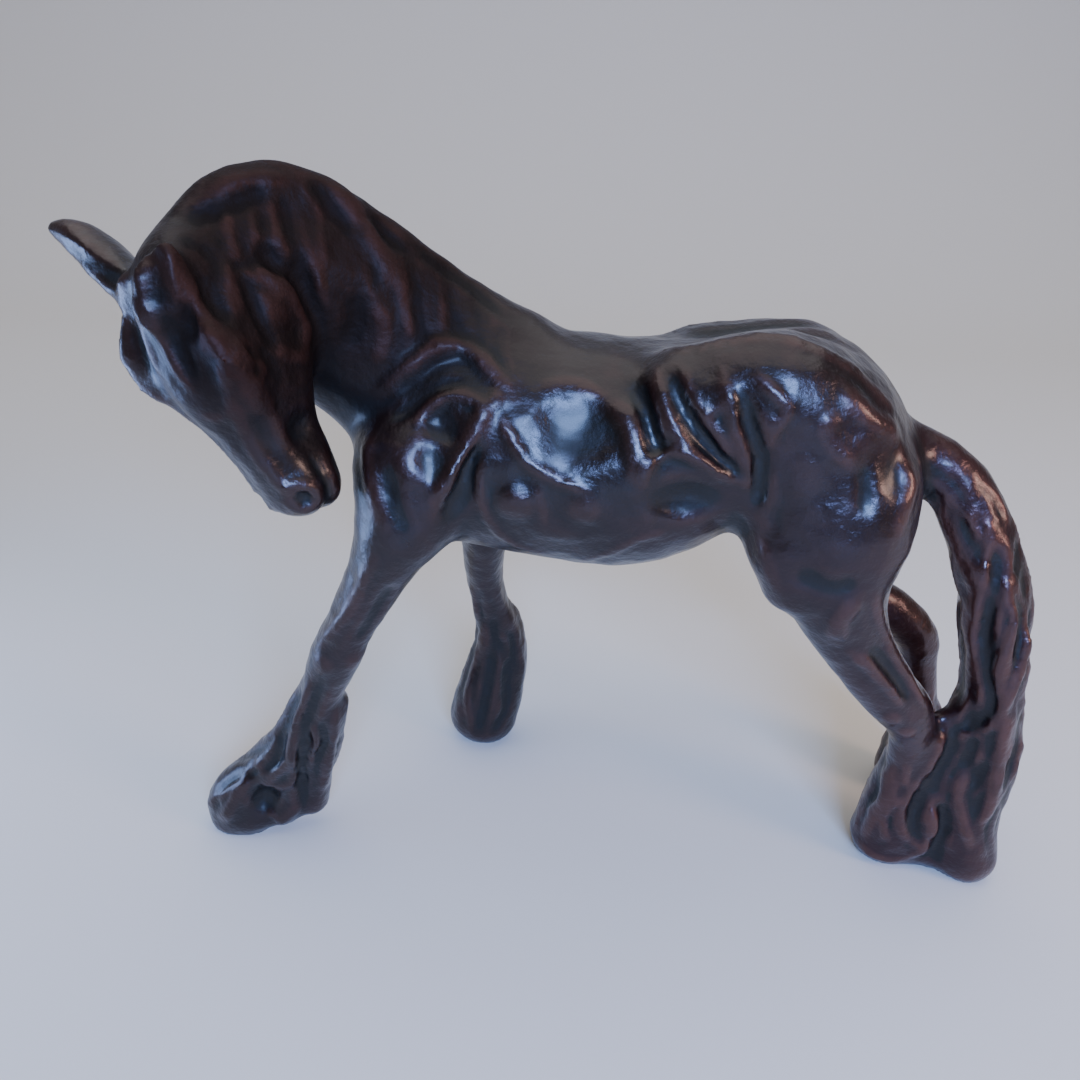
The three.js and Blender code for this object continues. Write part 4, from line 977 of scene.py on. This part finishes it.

# %% [markdown]
# ## The patina
# The bronze is nearly black-brown and waxed. It turns maroon over the hindquarters and the
# tail, and it is coppery where handling has worn it; its hollows get olive-black painted shade.
# A plain brown metal would look like plastic, because all of this comes from the layers of colour.
# One Principled shader takes a colour that is mixed in steps: the two browns by place along
# the body, then patches of noise, then hollows and crests. The wax is its coat, and there
# is less of it on the neck and the mane.


# %% Waxed bronze
chocolate = (0.0105, 0.0050, 0.0042)
umber = (0.0135, 0.0072, 0.0050)
maroon = (0.024, 0.0056, 0.0062)
copper = (0.095, 0.036, 0.026)
olive_black = (0.0028, 0.0026, 0.0017)


def waxed_bronze():
    bronze = bpy.data.materials.new("waxed_bronze")
    bronze.use_nodes = True
    tree = bronze.node_tree
    shader = tree.nodes["Principled BSDF"]

    node, wire = node_tools(tree)

    def noise(scale, detail, roughness=0.5):
        made = node("ShaderNodeTexNoise")
        made.inputs["Scale"].default_value = scale
        made.inputs["Detail"].default_value = detail
        made.inputs["Roughness"].default_value = roughness
        wire(place.outputs["Object"], made.inputs["Vector"])
        return made.outputs["Fac"]

    def between(value, low, high, start=0.0, end=1.0):
        made = node("ShaderNodeMapRange")
        for key, number in (("From Min", low), ("From Max", high), ("To Min", start), ("To Max", end)):
            made.inputs[key].default_value = number
        wire(value, made.inputs["Value"])
        return made.outputs["Result"]

    def combine(kind, one, other):
        made = node("ShaderNodeMath", operation=kind, use_clamp=True)
        wire(one, made.inputs[0])
        if isinstance(other, (int, float)):
            made.inputs[1].default_value = other
        else:
            wire(other, made.inputs[1])
        return made.outputs[0]

    def tint(share, under, over):
        made = node("ShaderNodeMix", data_type="RGBA")
        wire(share, made.inputs["Factor"])
        for socket, colour in ((made.inputs[6], under), (made.inputs[7], over)):
            if isinstance(colour, tuple):
                socket.default_value = (*colour, 1)
            else:
                wire(colour, socket)
        return made.outputs[2]

    place = node("ShaderNodeTexCoord")
    split = node("ShaderNodeSeparateXYZ")
    wire(place.outputs["Object"], split.inputs["Vector"])
    fine = node("ShaderNodeAttribute", attribute_name="fine_relief").outputs["Fac"]
    broad = node("ShaderNodeAttribute", attribute_name="broad_relief").outputs["Fac"]
    clouds = noise(38, 4)
    mottle = noise(150, 5, 0.6)
    grain = noise(1100, 3, 0.6)

    # Chocolate in front, maroon behind, with a ragged border
    ragged = between(clouds, 0.35, 0.65, -0.3, 0.3)
    towards_tail = combine("ADD", between(split.outputs["X"], 0.0, 0.075), ragged)
    colour = tint(towards_tail, chocolate, maroon)
    # Neck, mane and cheek keep a warmer, matt brown, but the forehead is waxed like the body
    behind_face = between(split.outputs["X"], -0.078, -0.068)
    before_flank = between(split.outputs["X"], -0.012, -0.034)
    high_up = between(split.outputs["Z"], 0.104, 0.124)
    matt_hair = combine("MULTIPLY", combine("MULTIPLY", behind_face, before_flank), high_up)
    colour = tint(combine("MULTIPLY", matt_hair, 0.8), colour, umber)
    colour = tint(between(mottle, 0.55, 0.8, 0, 0.12), colour, copper)
    # Painted shade: fine and broad hollows are darkened towards olive-black, less on the neck and mane
    hollow = combine("ADD", between(fine, 0.46, 0.2), between(broad, 0.4, 0.05))
    hollow = combine("MULTIPLY", hollow, between(matt_hair, 0, 1, 1.0, 0.45))
    colour = tint(combine("MULTIPLY", hollow, 0.9), colour, olive_black)
    crest = combine("MULTIPLY", between(fine, 0.62, 1.0), between(mottle, 0.35, 0.6, 0.45, 1.0))
    worn = combine("MULTIPLY", crest, between(split.outputs["X"], 0.02, 0.09, 0.25, 0.8))
    colour = tint(worn, colour, copper)
    wire(colour, shader.inputs["Base Color"])

    shader.inputs["Metallic"].default_value = 0.5
    rough = between(mottle, 0.3, 0.7, 0.27, 0.40)
    rough = combine("ADD", rough, combine("MULTIPLY", hollow, 0.25))
    rough = combine("ADD", rough, combine("MULTIPLY", matt_hair, 0.22))
    wire(rough, shader.inputs["Roughness"])
    wire(between(matt_hair, 0, 1, 0.4, 0.0), shader.inputs["Coat Weight"])
    shader.inputs["Coat Roughness"].default_value = 0.24
    wire(between(matt_hair, 0, 1, 0.5, 0.16), shader.inputs["Specular IOR Level"])
    shader.inputs["Specular Tint"].default_value = (0.72, 0.82, 1.0, 1)

    small = node("ShaderNodeBump")
    small.inputs["Strength"].default_value = 0.25
    small.inputs["Distance"].default_value = 0.0002
    wire(grain, small.inputs["Height"])
    large = node("ShaderNodeBump")
    large.inputs["Strength"].default_value = 0.5
    large.inputs["Distance"].default_value = 0.0008
    wire(noise(420, 3), large.inputs["Height"])
    wire(small.outputs["Normal"], large.inputs["Normal"])
    wire(large.outputs["Normal"], shader.inputs["Normal"])
    return bronze


bronze = waxed_bronze()
print("patina nodes:", len(bronze.node_tree.nodes))

# %% [markdown]
# ## The finished casting
# The dabs are pressed by the node tree, and its result is baked into a plain mesh, because
# the export can't follow a live tree. The new piece takes the place of the packed solid
# and rides on the one body that there is.

# %% Dabs pressed, piece declared
tree = dab_tree(bronze)
modifier = horse.modifiers.new("dabs", "NODES")
modifier.node_group = tree
sizes = {"Dab spacing": 0.0042, "Dab depth": 0.0002, "Sole level": 0.0006, "Seed": 7}
for item in tree.interface.items_tree:
    if item.in_out == "INPUT" and item.name in sizes:
        modifier[item.identifier] = sizes[item.name]
finished = horse.evaluated_get(bpy.context.evaluated_depsgraph_get())
horse_bronze = bpy.data.objects.new("horse_bronze", bpy.data.meshes.new_from_object(finished))
horse.modifiers.remove(modifier)
bpy.data.objects.remove(horse)
bpy.context.scene.collection.objects.link(horse_bronze)
horse_bronze.data.polygons.foreach_set("use_smooth", [True] * len(horse_bronze.data.polygons))
horse_bronze.data.update()
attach(horse_bronze, "root")
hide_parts("horse")
horse_bronze.data.calc_loop_triangles()
print("triangles:", len(horse_bronze.data.loop_triangles), "materials:", len(horse_bronze.data.materials))

# %% [markdown]
# ## The floor
# The horse stands on a plain pale floor that curves up behind it, as a sheet of paper does
# in a small studio, so no edge runs through the picture. A plane alone would end in a line.

# %% Floor that curves up into a backdrop
floor_front = -1.6
bend_start = 0.45
bend_radius = 0.35
bend_steps = 12
backdrop_top = 1.6
half_width = 2.2


def sweep_floor():
    profile = [(floor_front, 0.0), (bend_start, 0.0)]
    for n in range(1, bend_steps + 1):
        angle = math.radians(90 * n / bend_steps)
        rise = bend_radius - bend_radius * math.cos(angle)
        profile.append((bend_start + bend_radius * math.sin(angle), rise))
    profile.append((bend_start + bend_radius, backdrop_top))
    points = [(x, y, z) for x in (-half_width, half_width) for y, z in profile]
    count = len(profile)
    faces = [(n, n + count, n + count + 1, n + 1) for n in range(count - 1)]
    mesh = bpy.data.meshes.new("floor")
    mesh.from_pydata(points, [], faces)
    mesh.polygons.foreach_set("use_smooth", [True] * len(faces))
    mesh.update()
    floor = bpy.data.objects.new("floor", mesh)
    bpy.context.scene.collection.objects.link(floor)
    paper = bpy.data.materials.new("pale_paper")
    paper.use_nodes = True
    surface = paper.node_tree.nodes["Principled BSDF"]
    surface.inputs["Base Color"].default_value = (0.62, 0.60, 0.57, 1)
    surface.inputs["Roughness"].default_value = 0.75
    mesh.materials.append(paper)
    return floor


sweep_floor()
print("floor laid at z = 0")

# %% [markdown]
# ## The camera
# The camera has the photograph's place: 28 degrees above the horse, close, and tilted by
# two degrees. It was worked out in the drawing's coordinates, so it gets the horse's shift.

# %% Camera at the photograph's place
pitch = math.radians(28.2)
roll = math.radians(2.4)
level_right = np.array([1, 0, 0])
level_up = np.array([0, math.sin(pitch), math.cos(pitch)])
camera_right = math.cos(roll) * level_right + math.sin(roll) * level_up
camera_up = math.cos(roll) * level_up - math.sin(roll) * level_right
camera_back = -np.array([0, math.cos(pitch), -math.sin(pitch)])
drawn_place = np.array([-12, -159, 165])
camera_place = (drawn_place + shift) / 1000

lens = bpy.data.cameras.new("photo_view")
lens.sensor_width = 36
lens.lens = 29.33
lens.clip_start = 0.005
camera = bpy.data.objects.new("photo_view", lens)
turned = Matrix([list(row) for row in np.stack([camera_right, camera_up, camera_back], 1)])
camera.matrix_world = Matrix.Translation(camera_place.tolist()) @ turned.to_4x4()
bpy.context.scene.collection.objects.link(camera)
bpy.context.scene.camera = camera
print("camera at", np.round(camera_place, 3))

# %% [markdown]
# ## The light
# One cool lamp in front, above the camera, gives the bluish sheen on the ribs, the flank
# and the shoulder, as daylight from a window does. A small one low at the left lights the
# forehead from below, and a warm one at the right gives the coppery glints on the haunch.
# A very large lamp overhead and a dim world fill in the rest.


# %% Lamps
def soft_lamp(name, place, target, size, power, colour):
    lamp = bpy.data.lights.new(name, "AREA")
    lamp.shape = "RECTANGLE"
    lamp.size, lamp.size_y = size
    lamp.energy = power
    lamp.color = colour
    obj = bpy.data.objects.new(name, lamp)
    aim = Matrix.Translation(place).to_translation() - Matrix.Translation(target).to_translation()
    obj.matrix_world = Matrix.Translation(place) @ aim.to_track_quat("Z", "Y").to_matrix().to_4x4()
    bpy.context.scene.collection.objects.link(obj)


heart = (0.0, 0.0, 0.08)
brow = (-0.078, -0.03, 0.12)
soft_lamp("sky_lamp", (0.09, -0.56, 0.36), heart, (0.30, 0.16), 8.0, (0.30, 0.49, 1.0))
soft_lamp("low_lamp", (-0.28, -0.02, 0.03), brow, (0.12, 0.2), 0.7, (0.36, 0.54, 1.0))
soft_lamp("warm_lamp", (0.55, -0.28, 0.3), heart, (0.16, 0.16), 1.6, (1.0, 0.66, 0.52))
soft_lamp("top_lamp", (0.0, 0.2, 1.3), heart, (2.0, 2.0), 20, (1.0, 0.97, 0.93))
world = bpy.data.worlds.new("room")
world.use_nodes = True
world.node_tree.nodes["Background"].inputs["Color"].default_value = (0.58, 0.55, 0.53, 1)
world.node_tree.nodes["Background"].inputs["Strength"].default_value = 0.3
bpy.context.scene.world = world

# %% [markdown]
